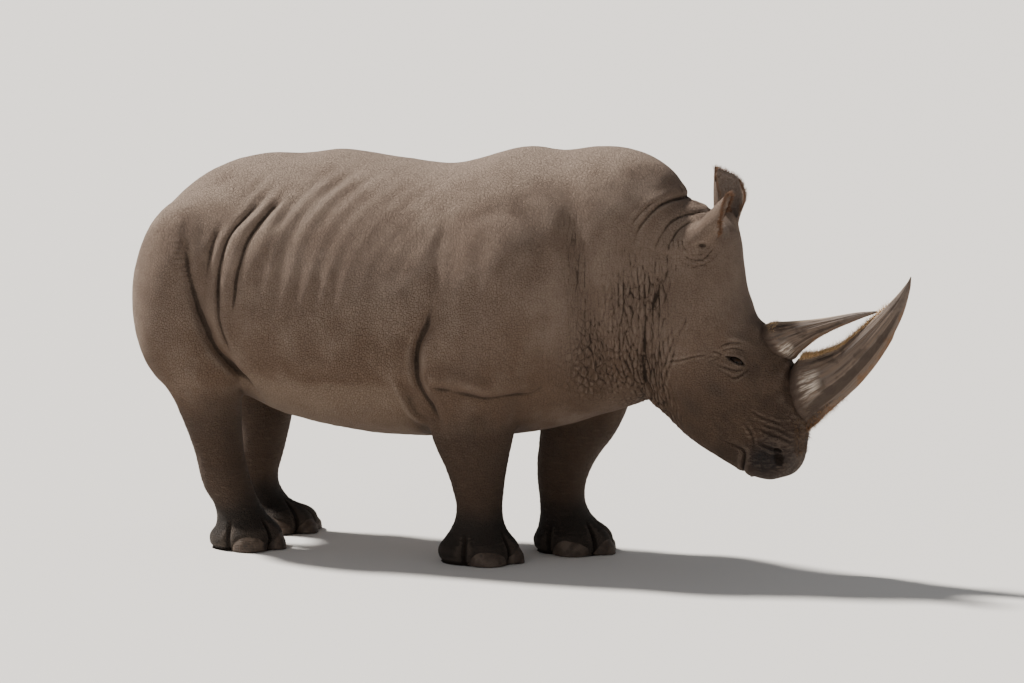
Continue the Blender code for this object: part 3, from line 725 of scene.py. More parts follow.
def cover_eyes(mesh):
    """Points nearer an eye than the lids' radius move out to it, by a soft maximum of the two distances."""
    points = points_of(mesh)
    for side in (-1, 1):
        centre = eye_frame(side)[0]
        offset = points - centre
        distance = np.linalg.norm(offset, axis=1)
        near = distance < LID_REACH
        grown = np.logaddexp(LID_SOFTNESS * distance[near], LID_SOFTNESS * LID_RADIUS) / LID_SOFTNESS
        points[near] = centre + offset[near] / distance[near, None] * grown[:, None]
    move_points(mesh, points)


def almond_plug(side):
    """Rings of an almond: L cos a along the lids and H sin a |sin a| across them, H greater below."""
    centre, along, up, outward = eye_frame(side)
    a = np.linspace(0, 2 * pi, 48, endpoint=False)[:, None]
    lens = np.sin(a) * np.abs(np.sin(a))
    rings = []
    for depth, length, above, below in LID_OPENING:
        tall = np.where(lens > 0, above, below)
        rings.append(centre + outward * depth + along * length * np.cos(a) + up * tall * lens)
    return loft("plug", rings)


cover_eyes(skin.data)
plugs = [almond_plug(side) for side in (-1, 1)]

# %% [markdown]
# ## Nostrils and soles
#
# The nostrils are wide hollows in the sides of the muzzle, cut with a leaning ellipsoid. A block under
# the floor cuts the feet flat.

# %% Cut the nostrils and the soles
NOSTRIL = Swell((1.222, 0.144, 0.500), (0.040, 0.036, 0.019), -82, 0)


def nostril_centre(side):
    return np.array(NOSTRIL.centre) * np.array([1, side, 1])


def nostril_cutter(side):
    return loft("nostril", ball_points(nostril_centre(side), NOSTRIL.half, tilt_about_y(-NOSTRIL.tilt)))


def floor_cutter():
    corners = [[(x, y, z) for x, y in ((-3, -2), (3, -2), (3, 2), (-3, 2))] for z in (-1.0, 0.0)]
    return loft("floor", corners)


combine(skin, "DIFFERENCE", plugs + [nostril_cutter(-1), nostril_cutter(1), floor_cutter()])
print("lids, nostrils and soles cut,", len(skin.data.vertices), "points")

# %% [markdown]
# ## Ears
#
# An ear is a sheet of gristle rolled into a trumpet: almost closed at its root, open at its mouth,
# with a rounded tip. So it is one surface in two parameters, given a thickness that thins to the rim,
# and joined to the skin by a Boolean. The root of the trumpet stands in the fleshy stump.

# %% Roll the ears and join them to the head
EAR_WRAP_ROOT, EAR_WRAP_TIP = 165, 75
EAR_ROWS, EAR_COLUMNS = 64, 72
EAR_WALL_ROOT, EAR_WALL_RIM = 0.012, 0.0055
EAR_CORNER, EAR_CORNER_POWER = 0.09, 9
EAR_WAVE = 0.04


def ear_sheet(name, u, v):
    """Root + axis x reach, less away from the tip, + (across sin(v wrap) - front cos(v wrap)) x radius."""
    ear = EARS[name]
    root, along, front, across = ear_frame(name)
    wrap = np.radians(EAR_WRAP_ROOT + (EAR_WRAP_TIP - EAR_WRAP_ROOT) * u)
    from_tip = np.abs(v - ear.lean) / (1 + abs(ear.lean))
    fall = ear.trim + ear.fall * from_tip ** ear.power + EAR_CORNER * np.abs(v) ** EAR_CORNER_POWER
    reach = EAR_LENGTH * u * (1 - fall * u)
    radius = EAR_ROOT_RADIUS + (ear.mouth - EAR_ROOT_RADIUS) * np.sin(u * pi / 2) ** 2
    radius = radius * (1 + EAR_WAVE * np.sin(3 * v + 1) * u)
    outward = np.sin(v * wrap)[..., None] * across - np.cos(v * wrap)[..., None] * front
    return root + reach[..., None] * along + outward * radius[..., None]


def shell(name, middle, wall):
    """A closed shell: the middle surface moved half its wall both ways, with its edges joined."""
    rows, columns = middle.shape[:2]
    normal = unit(np.cross(np.gradient(middle, axis=0), np.gradient(middle, axis=1)))
    outer, inner = middle + normal * wall[..., None] / 2, middle - normal * wall[..., None] / 2
    points = np.concatenate([outer.reshape(-1, 3), inner.reshape(-1, 3)])
    count = rows * columns
    sheet = grid_faces(rows, columns, False)
    index = np.arange(count).reshape(rows, columns)
    border = np.concatenate([index[0, :-1], index[:-1, -1], index[-1, :0:-1], index[:0:-1, 0]])
    following = np.roll(border, -1)
    rim = np.stack([border, following, following + count, border + count], axis=1)
    faces = np.concatenate([sheet[:, ::-1], sheet + count, rim])
    return face_outwards(mesh_from(name, points, faces.tolist()))


def ear_mesh(name):
    u, v = np.meshgrid(np.linspace(0, 1, EAR_ROWS), np.linspace(-1, 1, EAR_COLUMNS), indexing="ij")
    edge = np.maximum(np.abs(v) ** 6, u ** 8)
    wall = EAR_WALL_ROOT + (EAR_WALL_RIM - EAR_WALL_ROOT) * np.maximum(edge, 0.6 * u)
    return shell(name, ear_sheet(name, u, v), wall)


combine(skin, "UNION", [ear_mesh(name) for name in EARS])
print("ears joined,", len(skin.data.vertices), "points")

# %% [markdown]
# ## Fine folds and creases
#
# The hide creases where the body bends: behind the nape, at the cheek, over the fore leg and along the
# flank. Each fold is a path of (x, z, strength). A negative depth raises a ridge instead.

# %% Paths of the fine folds
LEFT_LEG_AHEAD = 0.25
HEM = [(-0.190, 0.735, 0), (-0.150, 0.736, 0.7), (-0.025, 0.736, 1), (0.060, 0.721, 1), (0.133, 0.729, 1),
       (0.212, 0.733, 0.8), (0.272, 0.771, 0.4), (0.330, 0.820, 0)]
FINE_FOLDS = [
    # crease between hump and nape, the next roll, and the crease before the cheek
    Fold(0, [(0.790, 1.545, 1), (0.763, 1.534, 1), (0.739, 1.522, 0.9), (0.702, 1.499, 0.6),
             (0.654, 1.431, 0.35), (0.627, 1.370, 0.2), (0.610, 1.300, 0)],
             0.012, 0.008, (0.003, 0.006), 0.030),
    Fold(0, [(0.880, 1.478, 0.5), (0.849, 1.473, 1), (0.808, 1.470, 0.9), (0.766, 1.450, 0.7),
             (0.742, 1.421, 0.5), (0.718, 1.362, 0.3), (0.713, 1.301, 0.2), (0.712, 1.220, 0)],
             0.009, 0.007, (0.003, 0.005), 0.022),
    Fold(0, [(0.860, 1.440, 0), (0.820, 1.435, 0.8), (0.785, 1.405, 0.8), (0.765, 1.350, 0.4),
             (0.755, 1.290, 0)], 0.004, 0.005, (0.002, 0.002), 0.014),
    Fold(0, [(0.700, 1.530, 0), (0.665, 1.500, 0.8), (0.630, 1.450, 0.6), (0.600, 1.380, 0)],
             0.003, 0.005, (0.002, 0.002), 0.014),
    Fold(0, [(0.740, 1.200, 0), (0.725, 1.143, 0.2), (0.683, 1.045, 0.4), (0.666, 0.945, 0.8),
             (0.660, 0.853, 1), (0.662, 0.797, 1), (0.677, 0.750, 0.9), (0.690, 0.690, 0.5)],
             0.016, 0.009, (0.003, 0.007), 0.034),
    # lines down the cheek
    Fold(0, [(0.860, 1.090, 0), (0.851, 1.054, 0.8), (0.825, 0.996, 1), (0.797, 0.906, 1),
             (0.752, 0.786, 0.4), (0.735, 0.740, 0)], 0.0022, 0.006, (0.002, 0.002), 0.016),
    Fold(0, [(0.825, 1.020, 0), (0.800, 0.975, 0.8), (0.772, 0.890, 1), (0.735, 0.800, 0)],
             0.0018, 0.005, (0.001, 0.001), 0.014),
    # front edge of the shoulder blade, the hem over the fore legs
    Fold(0, [(0.150, 1.560, 0), (0.250, 1.476, 0.8), (0.340, 1.347, 1), (0.385, 1.150, 1),
             (0.395, 0.980, 0.5), (0.395, 0.850, 0)], -0.004, 0.035, (0, 0), 0.04),
    Fold(-1, HEM, 0.009, 0.015, (0.017, 0.000), 0.046),
    Fold(1, [(x + LEFT_LEG_AHEAD, z, s) for x, z, s in HEM], 0.009, 0.015, (0.017, 0.000), 0.046),
    # two curved folds of the flank, the belly's edge, and the roll behind the elbow
    Fold(0, [(-1.010, 1.475, 0), (-1.062, 1.413, 0.7), (-1.120, 1.332, 1), (-1.150, 1.236, 1),
             (-1.158, 1.124, 1), (-1.148, 1.011, 1), (-1.127, 0.913, 0.7), (-1.095, 0.840, 0)],
             0.012, 0.010, (0.009, 0.004), 0.030),
    Fold(0, [(-0.900, 1.490, 0), (-0.958, 1.439, 0.7), (-1.004, 1.368, 1), (-1.043, 1.281, 1),
             (-1.071, 1.185, 1), (-1.082, 1.098, 0.6), (-1.085, 1.020, 0)],
             0.009, 0.010, (0.004, 0.008), 0.030),
    Fold(0, [(-1.150, 1.400, 0), (-1.190, 1.330, 0.7), (-1.205, 1.230, 0.8), (-1.200, 1.130, 0)],
             0.006, 0.016, (0.004, 0.004), 0.035),
    Fold(0, [(-1.100, 0.725, 0), (-1.062, 0.738, 0.8), (-0.855, 0.756, 1), (-0.618, 0.773, 0.8),
             (-0.361, 0.762, 0.5), (-0.300, 0.750, 0)], 0.003, 0.022, (0.004, 0.000), 0.060),
    Fold(0, [(-0.345, 0.860, 0), (-0.352, 0.790, 0.7), (-0.338, 0.729, 1), (-0.323, 0.658, 1),
             (-0.287, 0.610, 1), (-0.220, 0.575, 0.4)], -0.014, 0.020, (0, 0), 0.03),
    # mouth, with the lower lip left of the path and the upper lip right of it
    Fold(0, [(1.036, 0.365, 1), (1.052, 0.420, 1), (1.070, 0.475, 1), (1.074, 0.515, 0.9),
             (1.048, 0.536, 0.5), (1.000, 0.550, 0.2), (0.950, 0.565, 0)],
             0.015, 0.006, (0.005, 0.008), 0.022),
    # wrinkles over the nostril, and the dark line under its wing
    Fold(0, [(1.100, 0.690, 0), (1.135, 0.668, 1), (1.174, 0.653, 1), (1.210, 0.640, 1),
             (1.240, 0.620, 0)], 0.0025, 0.005, (0.002, 0.002), 0.012),
    Fold(0, [(1.150, 0.632, 0), (1.186, 0.623, 1), (1.211, 0.618, 1), (1.252, 0.592, 1),
             (1.268, 0.570, 0)], 0.0025, 0.005, (0.002, 0.002), 0.012),
    Fold(0, [(1.135, 0.615, 0), (1.166, 0.599, 1), (1.214, 0.583, 1), (1.257, 0.566, 1),
             (1.275, 0.545, 0)], 0.0030, 0.005, (0.002, 0.003), 0.013),
    Fold(0, [(1.135, 0.560, 0), (1.169, 0.543, 1), (1.200, 0.533, 1), (1.226, 0.524, 1)],
             0.010, 0.006, (0.002, 0.005), 0.013),
    Fold(0, [(1.080, 0.640, 0), (1.100, 0.610, 0.8), (1.115, 0.560, 0.8), (1.115, 0.510, 0)],
             0.003, 0.005, (0.002, 0.002), 0.012),
    # lids: the crease over the upper lid, two under the lower, lines behind the corner
    Fold(0, [(0.965, 0.934, 0), (1.009, 0.956, 0.7), (1.041, 0.962, 1), (1.072, 0.954, 0.5),
             (1.091, 0.938, 0)], 0.0026, 0.0045, (0.002, 0.003), 0.012),
    Fold(0, [(0.975, 0.920, 0), (1.012, 0.934, 0.8), (1.045, 0.938, 0.8), (1.080, 0.922, 0)],
             0.0022, 0.004, (0.001, 0.001), 0.009),
    Fold(0, [(0.990, 0.842, 0), (1.020, 0.829, 0.4), (1.047, 0.821, 1), (1.072, 0.833, 1),
             (1.104, 0.858, 0)], 0.0040, 0.0045, (0.003, 0.002), 0.012),
    Fold(0, [(0.960, 0.884, 0), (0.990, 0.864, 0.7), (1.025, 0.852, 1), (1.060, 0.848, 0.8),
             (1.090, 0.858, 0)], 0.0030, 0.004, (0.003, 0.002), 0.011),
    Fold(0, [(0.962, 0.868, 0), (0.985, 0.848, 0.7), (1.010, 0.838, 0)],
             0.0020, 0.004, (0.001, 0.001), 0.010),
    Fold(0, [(0.990, 0.914, 1), (0.970, 0.924, 0.8), (0.945, 0.932, 0)],
             0.0028, 0.004, (0.001, 0.001), 0.010),
    Fold(0, [(0.988, 0.906, 0.8), (0.965, 0.904, 0.8), (0.935, 0.905, 0)],
             0.0025, 0.004, (0.001, 0.001), 0.010),
    Fold(0, [(0.985, 0.898, 0.6), (0.962, 0.888, 0.8), (0.935, 0.872, 0)],
             0.0025, 0.004, (0.001, 0.001), 0.010),
    # an old scar behind the right eye
    Fold(-1, [(0.755, 0.874, 0), (0.800, 0.882, 0.8), (0.870, 0.900, 1), (0.915, 0.908, 0.8),
              (0.935, 0.911, 0)], 0.003, 0.004, (0.002, 0.002), 0.010),
]
print(len(FINE_FOLDS), "fine folds")

# %% [markdown]
# ## Rings round the ears, and toes
#
# Ovals of wrinkles ring each ear's root. The feet are shaped by the angle round the ankle: three toes
# in front, a heel behind, and clefts between them.

# %% Ear rings and toes
EAR_RING_CENTRE = (0.873, 1.372)
EAR_RING_RADII = (0.056, 0.074, 0.098)
EAR_RING_DEPTH, EAR_RING_WIDTH = 0.0030, 0.0045
EAR_PIT = Swell((0.897, 0.150, 1.350), (0.016, 0.05, 0.011), 0, 0.014)
# Where the toes part and where they crown, as angles round the foot from straight ahead, with each
# crown's half width, and how far each foot is turned.
CLEFT_ANGLES = (-102, -25, 25, 102)
TOE_DOMES = ((-63, 38), (0, 25), (63, 38))
FOOT_TURN = {"fore_right": 8, "fore_left": -12, "hind_right": 3, "hind_left": -16}
CLEFT_DEPTH, TOE_RISE, HEEL_RISE, SOLE_EDGE = 0.014, 0.022, 0.014, 0.012


def ear_reach(points):
    """How far along an ear a point lies, as a share of its length, and 0 far from both ears."""
    reach = np.zeros(len(points))
    for name in EARS:
        root, along, _, _ = ear_frame(name)
        offset = points - root
        u = offset @ along / EAR_LENGTH
        away = np.linalg.norm(offset - np.outer(u * EAR_LENGTH, along), axis=1)
        reach = np.maximum(reach, np.where((away < 0.105) & (u > 0), u, 0))
    return reach


def ear_ring_height(points):
    """Grooves on ovals round each ear's root, shallower on the left, and a pit below the right ear."""
    dx, dz = points[:, 0] - EAR_RING_CENTRE[0], points[:, 2] - EAR_RING_CENTRE[1]
    radius = np.hypot(dx, 0.88 * dz) + 0.012 * noise(points, 10, 31) + 0.004 * noise(points, 30, 32)
    angle = np.degrees(np.arctan2(dz, dx))
    fade = ramp(np.abs(angle + 110), 115, 70)
    height = np.zeros(len(points))
    for groove in EAR_RING_RADII:
        broken = 0.6 + 0.6 * noise(points, 16, int(1000 * groove))
        height -= EAR_RING_DEPTH * np.exp(-((radius - groove) / EAR_RING_WIDTH) ** 2) * broken
    right = ramp(points[:, 1], 0.02, -0.02)
    pit = EAR_PIT.height * bell(points, *EAR_PIT[:3]) * right
    return (height * fade * ramp(radius, 0.20, 0.14) - pit) * (0.4 + 0.6 * right)


def toe_height(points, normals):
    """Toes as domes sqrt(1 - q^2) of the angle round the ankle, clefts between them, and a soft sole edge."""
    height = np.zeros(len(points))
    z = points[:, 2]
    for name, (side, sections, axis) in LEGS.items():
        x0, y0 = axis[-1]
        a, b = sections[-1][1:]
        dx, dy = (points[:, 0] - x0) / a, (points[:, 1] * side - y0) / b
        near = (np.hypot(dx, dy) < 1.7) & (z < 0.22) & (np.sign(points[:, 1]) == side)
        low, dx, dy = z[near], dx[near], dy[near]
        angle = (np.degrees(np.arctan2(dy, dx)) - side * FOOT_TURN[name] + 180) % 360 - 180
        spread = ramp(low, 0.150, 0.075)
        shape = np.zeros(near.sum())
        for cleft in CLEFT_ANGLES:
            away = np.abs(angle - cleft)
            shape -= spread * CLEFT_DEPTH * np.exp(-(away / 5.0) ** 2)
        for middle, half in TOE_DOMES:
            dome = np.sqrt(np.clip(1 - ((angle - middle) / half) ** 2, 0, 1))
            shape += TOE_RISE * dome * np.exp(-((low - 0.066) / 0.046) ** 2)
        shape += HEEL_RISE * np.exp(-((low - 0.052) / 0.034) ** 2) * ramp(np.abs(angle), 96, 108)
        shape -= SOLE_EDGE * ramp(low, 0.024, 0.0)
        height[near] = shape * ramp(normals[near, 2], -0.80, -0.35)
    return height


print(len(EAR_RING_RADII), "ear rings,", len(TOE_DOMES), "toes on each foot")

# %% [markdown]
# ## Pads between wrinkles
#
# On the neck the wrinkles stand upright, before the shoulder they are square, and on the snout and
# legs they lie level. So each net has pads of its own size.

# %% Nets of wrinkles
# Nets of wrinkles: depth, the pads' size along X, Y and Z, and a seed.
NETS = {
    "neck": (0.0042, (0.025, 0.040, 0.075), 11),
    "neck_and_band": (0.0040, (0.022, 0.035, 0.150), 17),
    "shoulder": (0.0030, (0.028, 0.034, 0.038), 15),
    "snout": (0.0018, (0.050, 0.060, 0.018), 25),
    "below_ear": (0.0020, (0.045, 0.045, 0.017), 27),
    "rump": (0.0022, (0.060, 0.050, 0.020), 29),
    "legs": (0.0011, (0.080, 0.080, 0.018), 21),
}


def net_weights(points):
    """Where each net of wrinkles lies, from 0 to 1. The band follows the fold before the shoulder blade."""
    x, z = points[:, 0], points[:, 2]
    patchy = 0.75 + 0.5 * noise(points, 7, 43)
    neck = ramp(x, 0.44, 0.62) * ramp(x, 0.87, 0.70) * ramp(z, 1.50, 1.20) * patchy
    signed, strength = place_on_path(x, z, fold_path(BROAD_FOLDS[0]))
    band = 0.7 * (strength * np.exp(-((signed + 0.01) / 0.060) ** 2) * patchy * ramp(z, 1.62, 1.25))
    return {
        "neck": neck,
        "band": band,
        "neck_and_band": np.maximum(neck, band),
        "shoulder": bell(points, (0.450, 0.26, 0.840), (0.150, 0.20, 0.190)),
        "snout": ramp(x, 1.02, 1.10) * ramp(z, 0.72, 0.64) * ramp(z, 0.40, 0.47),
        "below_ear": bell(points, (0.870, 0.16, 1.285), (0.100, 0.15, 0.040), 15),
        "rump": bell(points, (-1.340, 0.38, 1.200), (0.055, 0.20, 0.130)),
        "legs": ramp(z, 0.66, 0.52) * ramp(z, 0.05, 0.10) * ramp(x, 0.75, 0.60),
    }


def shape_finely(mesh):
    points, normals = points_of(mesh), normals_of(mesh)
    height = np.zeros(len(points))
    for fold in FINE_FOLDS:
        height += fold_height(points, normals, fold)
    weights = net_weights(points)
    for name, (depth, sizes, seed) in NETS.items():
        height += cells(points, depth * weights[name], sizes, seed)
    height += 0.0022 * noise(points, 9, 41) + 0.0008 * noise(points, 30, 42)
    height += ear_ring_height(points) + toe_height(points, normals)
    height *= 1 - ramp(ear_reach(points), 0.10, 0.25)
    points += normals * height[:, None]
    points[:, 2] = np.maximum(points[:, 2], 0.0)
    move_points(mesh, points)


print("nets", list(NETS))

# %% [markdown]
# ## Soft joints, and the depth of every groove
#
# The seams round ears, lids and nostrils are smoothed before the fine forms go in. Where a point then
# lies deeper than its smoothed neighbourhood there is a groove. Dirt gathers in it and the finish paints
# shade in it, so that depth is kept with each point.

# %% Press the fine forms in and mark the grooves
SOFTEN_STEPS, FINE_STEPS, BROAD_STEPS = 12, 8, 50
GROOVE_SCALE, HOLLOW_SCALE = 0.0012, 0.006


def soften_joints(mesh):
    """Relaxes the skin where the ears, lids and nostrils were joined or cut."""
    points, edges = points_of(mesh), edges_of(mesh)
    reach = ear_reach(points)
    weight = 0.5 * ramp(reach, 0.0, 0.04) * ramp(reach, 0.42, 0.30)
    for side in (-1, 1):
        near = np.linalg.norm(points - eye_frame(side)[0], axis=1)
        weight = np.maximum(weight, 0.25 * ramp(near, 0.031, 0.034) * ramp(near, 0.075, 0.055))
        hole = np.linalg.norm(points - nostril_centre(side), axis=1)
        weight = np.maximum(weight, 0.5 * ramp(hole, 0.070, 0.045))
    move_points(mesh, relaxed(points, edges, weight, SOFTEN_STEPS))


def keep(mesh, name, values):
    """Stores one number per point as a named attribute, for the finish to read."""
    layer = mesh.attributes.new(name, "FLOAT", "POINT")
    layer.data.foreach_set("value", np.asarray(values, np.float32))


def mark_grooves(mesh):
    """How far smoothed copies of the skin lie outside it: 1 in grooves and hollows, -1 on crests."""
    points, normals, edges = points_of(mesh), normals_of(mesh), edges_of(mesh)
    half = np.full(len(points), 0.5)
    fine = relaxed(points, edges, half, FINE_STEPS)
    broad = relaxed(fine, edges, half, BROAD_STEPS)
    keep(mesh, "groove", np.clip(((fine - points) * normals).sum(axis=1) / GROOVE_SCALE, -1, 1))
    keep(mesh, "hollow", np.clip(((broad - points) * normals).sum(axis=1) / HOLLOW_SCALE, -1, 1))


soften_joints(skin.data)
shape_finely(skin.data)
mark_grooves(skin.data)
print("folds pressed")

# %% [markdown]
# ## Triangles where they are needed
#
# A mesh of 5 mm squares has over a million triangles. Collapsing edges keeps the shape with far fewer,
# but the head and neck carry finer wrinkles than the trunk. So the trunk is thinned first, while the
# rest is held, and then the head.

# %% Thin the skin
BODY_TRIANGLES, HEAD_TRIANGLES = 78_000, 118_000
HEAD_FROM = 0.42


def triangle_count(mesh):
    return len(mesh.loops) - 2 * len(mesh.polygons)


def thin(item, free, target):
    """Collapses edges between free points until the whole mesh has target triangles, and no other faces."""
    item.vertex_groups.clear()
    group = item.vertex_groups.new(name="free")
    group.add(np.flatnonzero(free).tolist(), 1.0, "REPLACE")
    step = item.modifiers.new("Thin", "DECIMATE")
    step.vertex_group = group.name
    step.ratio = target / triangle_count(item.data)
    item.modifiers.new("Split", "TRIANGULATE")
    bake(item)
    item.vertex_groups.clear()


def thin_skin(item):
    ahead = points_of(item.data)[:, 0] > HEAD_FROM
    share = ahead.mean()
    thin(item, ~ahead, triangle_count(item.data) * share + BODY_TRIANGLES)
    thin(item, points_of(item.data)[:, 0] > HEAD_FROM, BODY_TRIANGLES + HEAD_TRIANGLES)
    item.data.shade_smooth()


thin_skin(skin)
print("skin thinned to", triangle_count(skin.data), "triangles")

# %% [markdown]
# ## A flat map of the skin
#
# A finish baked on a skin needs a map of it, where no two places share a spot. Trunk, head, legs, tail
# and ears are all tubes, so each is slit along one side and rolled out: angle one way, length the
# other. The blunt ends get flat patches of their own. Each chart fills its own oblong of the map.

# %% Charts of the skin
CHARTS = {
    "trunk": (0.00, 0.00, 0.80, 0.46), "head": (0.00, 0.47, 0.66, 0.84),
    "leg_fore_right": (0.81, 0.00, 1.00, 0.11), "leg_fore_left": (0.81, 0.12, 1.00, 0.23),
    "leg_hind_right": (0.81, 0.24, 1.00, 0.35), "leg_hind_left": (0.81, 0.36, 1.00, 0.46),
    "rump": (0.67, 0.47, 0.83, 0.70), "muzzle": (0.84, 0.47, 1.00, 0.63), "tail": (0.84, 0.64, 1.00, 0.70),
    "soles_right": (0.67, 0.71, 0.83, 0.84), "soles_left": (0.84, 0.71, 1.00, 0.84),
    "ear_right_out": (0.00, 0.85, 0.24, 1.00), "ear_right_in": (0.25, 0.85, 0.49, 1.00),
    "ear_left_out": (0.50, 0.85, 0.74, 1.00), "ear_left_in": (0.75, 0.85, 1.00, 1.00),
}
CHART_MARGIN = 0.006
TRUNK_MIDDLE = 1.10
HEAD_LINE = np.array([(0.660, 1.150), (1.250, 0.470)])
HEAD_AHEAD = unit(HEAD_LINE[1] - HEAD_LINE[0])


def section_at(leg, z):
    """A leg's axis and half sizes at given heights."""
    side, sections, axis = LEGS[leg]
    heights = np.array([row[0] for row in sections])[::-1]
    values = np.array([(x, y, a, b) for (_, a, b), (x, y) in zip(sections, axis)])[::-1]
    return side, [np.interp(z, heights, values[:, k]) for k in range(4)]


def from_leg(leg, points):
    """Squared distance from a leg's axis in half sizes: 1 on its surface."""
    x, y, z = points.T
    side, (middle, across, a, b) = section_at(leg, z)
    return ((x - middle) / a) ** 2 + ((y * side - across) / b) ** 2


def tail_middle(z):
    tail = np.array(TAIL)[::-1]
    return np.interp(z, tail[:, 1], tail[:, 0])


def ear_polar(name, points):
    """Angle round an ear's axis from its back, length along it, and the way out from it."""
    root, along, front, across = ear_frame(name)
    offset = points - root
    length = offset @ along
    away = offset - np.outer(length, along)
    return np.arctan2(away @ across, -(away @ front)), length, away


def chart_values(chart, points):
    """The two coordinates of a chart. The first is an angle on tubes."""
    x, y, z = points.T
    if chart == "trunk":
        return np.arctan2(y, z - TRUNK_MIDDLE), x
    if chart == "head":
        offset = points[:, [0, 2]] - HEAD_LINE[0]
        return np.arctan2(y, offset @ np.array([-HEAD_AHEAD[1], HEAD_AHEAD[0]])), offset @ HEAD_AHEAD
    if chart.startswith("leg"):
        side, (middle, across, _, _) = section_at(chart[4:], z)
        return np.arctan2(x - middle, y * side - across), z
    if chart == "tail":
        return np.arctan2(y, x - tail_middle(z)), z
    if chart.startswith("ear"):
        return ear_polar(chart.rsplit("_", 1)[0], points)[:2]
    if chart.startswith("soles"):
        return x, y
    return y, z


print(len(CHARTS), "charts")

# %% [markdown]
# ## Every face finds its chart
#
# A face goes to a chart by the place of its middle and the way it faces. An angle must not jump from
# a half turn to its opposite inside one face, so each corner's angle is taken near the first corner's.

# %% Unwrap the skin
# Faces more square on than this to the end of the muzzle or rump go on patches of their own, and what
# is nearer than this to an ear's axis belongs to the ear.
BLUNT, EAR_NEAR = 0.86, 0.10


def choose_charts(points, normals):
    """The chart of each face, from its middle and its normal."""
    x, y, z = points.T
    chosen = np.full(len(points), "trunk", dtype=object)
    # the head begins at a plane that leans forward
    chosen[x - 0.22 * (z - 1.10) > 0.69] = "head"
    chosen[(chosen == "head") & (normals[:, [0, 2]] @ HEAD_AHEAD > BLUNT)] = "muzzle"
    chosen[(x < -1.50) & (normals[:, 0] < -BLUNT)] = "rump"
    for leg, (side, _, _) in LEGS.items():
        near = (from_leg(leg, points) < 2.6) & (z < 0.64) & (y * side > 0)
        chosen[near & ~((normals[:, 2] < -0.75) & (z > 0.45))] = "leg_" + leg
    flat = (z < 0.012) & (normals[:, 2] < -0.8)
    chosen[flat & (y < 0)] = "soles_right"
    chosen[flat & (y > 0)] = "soles_left"
    chosen[(z < 0.95) & (np.hypot(x - tail_middle(z), y) < 0.05)] = "tail"
    for name in EARS:
        _, length, away = ear_polar(name, points)
        near = (np.linalg.norm(away, axis=1) < EAR_NEAR) & (length > 0.12 * EAR_LENGTH)
        outside = (away * normals).sum(axis=1) > 0
        chosen[near & outside] = name + "_out"
        chosen[near & ~outside] = name + "_in"
    return chosen


def unwrap(mesh):
    """Fills the OFBake map with each corner's chart values; angles stay whole across a face."""
    corner = corners_of(mesh)
    faces = corner.reshape(-1, 3)
    points = points_of(mesh)
    middle = points[faces].mean(axis=1)
    first, second, third = points[faces].transpose(1, 0, 2)
    normals = unit(np.cross(second - first, third - first))
    chosen = choose_charts(middle, normals)
    placed = np.zeros((len(faces), 3, 2))
    for chart, (x0, y0, x1, y1) in CHARTS.items():
        mine = chosen == chart
        if not mine.any():
            continue
        first, second = chart_values(chart, points[faces[mine]].reshape(-1, 3))
        first, second = first.reshape(-1, 3), second.reshape(-1, 3)
        if not chart.startswith(("rump", "muzzle", "soles")):
            first = first[:, :1] + (first - first[:, :1] + pi) % (2 * pi) - pi
        values = np.stack([first, second], axis=-1)
        low, high = values.min(axis=(0, 1)), values.max(axis=(0, 1))
        share = (values - low) / (high - low)
        corner_low, corner_high = np.array([x0, y0]) + CHART_MARGIN, np.array([x1, y1]) - CHART_MARGIN
        placed[mine] = corner_low + share * (corner_high - corner_low)
    give_map(mesh, placed)
    by_point = np.zeros((len(points), 2))
    by_point[corner] = placed.reshape(-1, 2)
    return by_point, chosen


skin_map, skin_charts = unwrap(skin.data)
print("charts", {str(chart): int((skin_charts == chart).sum()) for chart in sorted(set(skin_charts))})
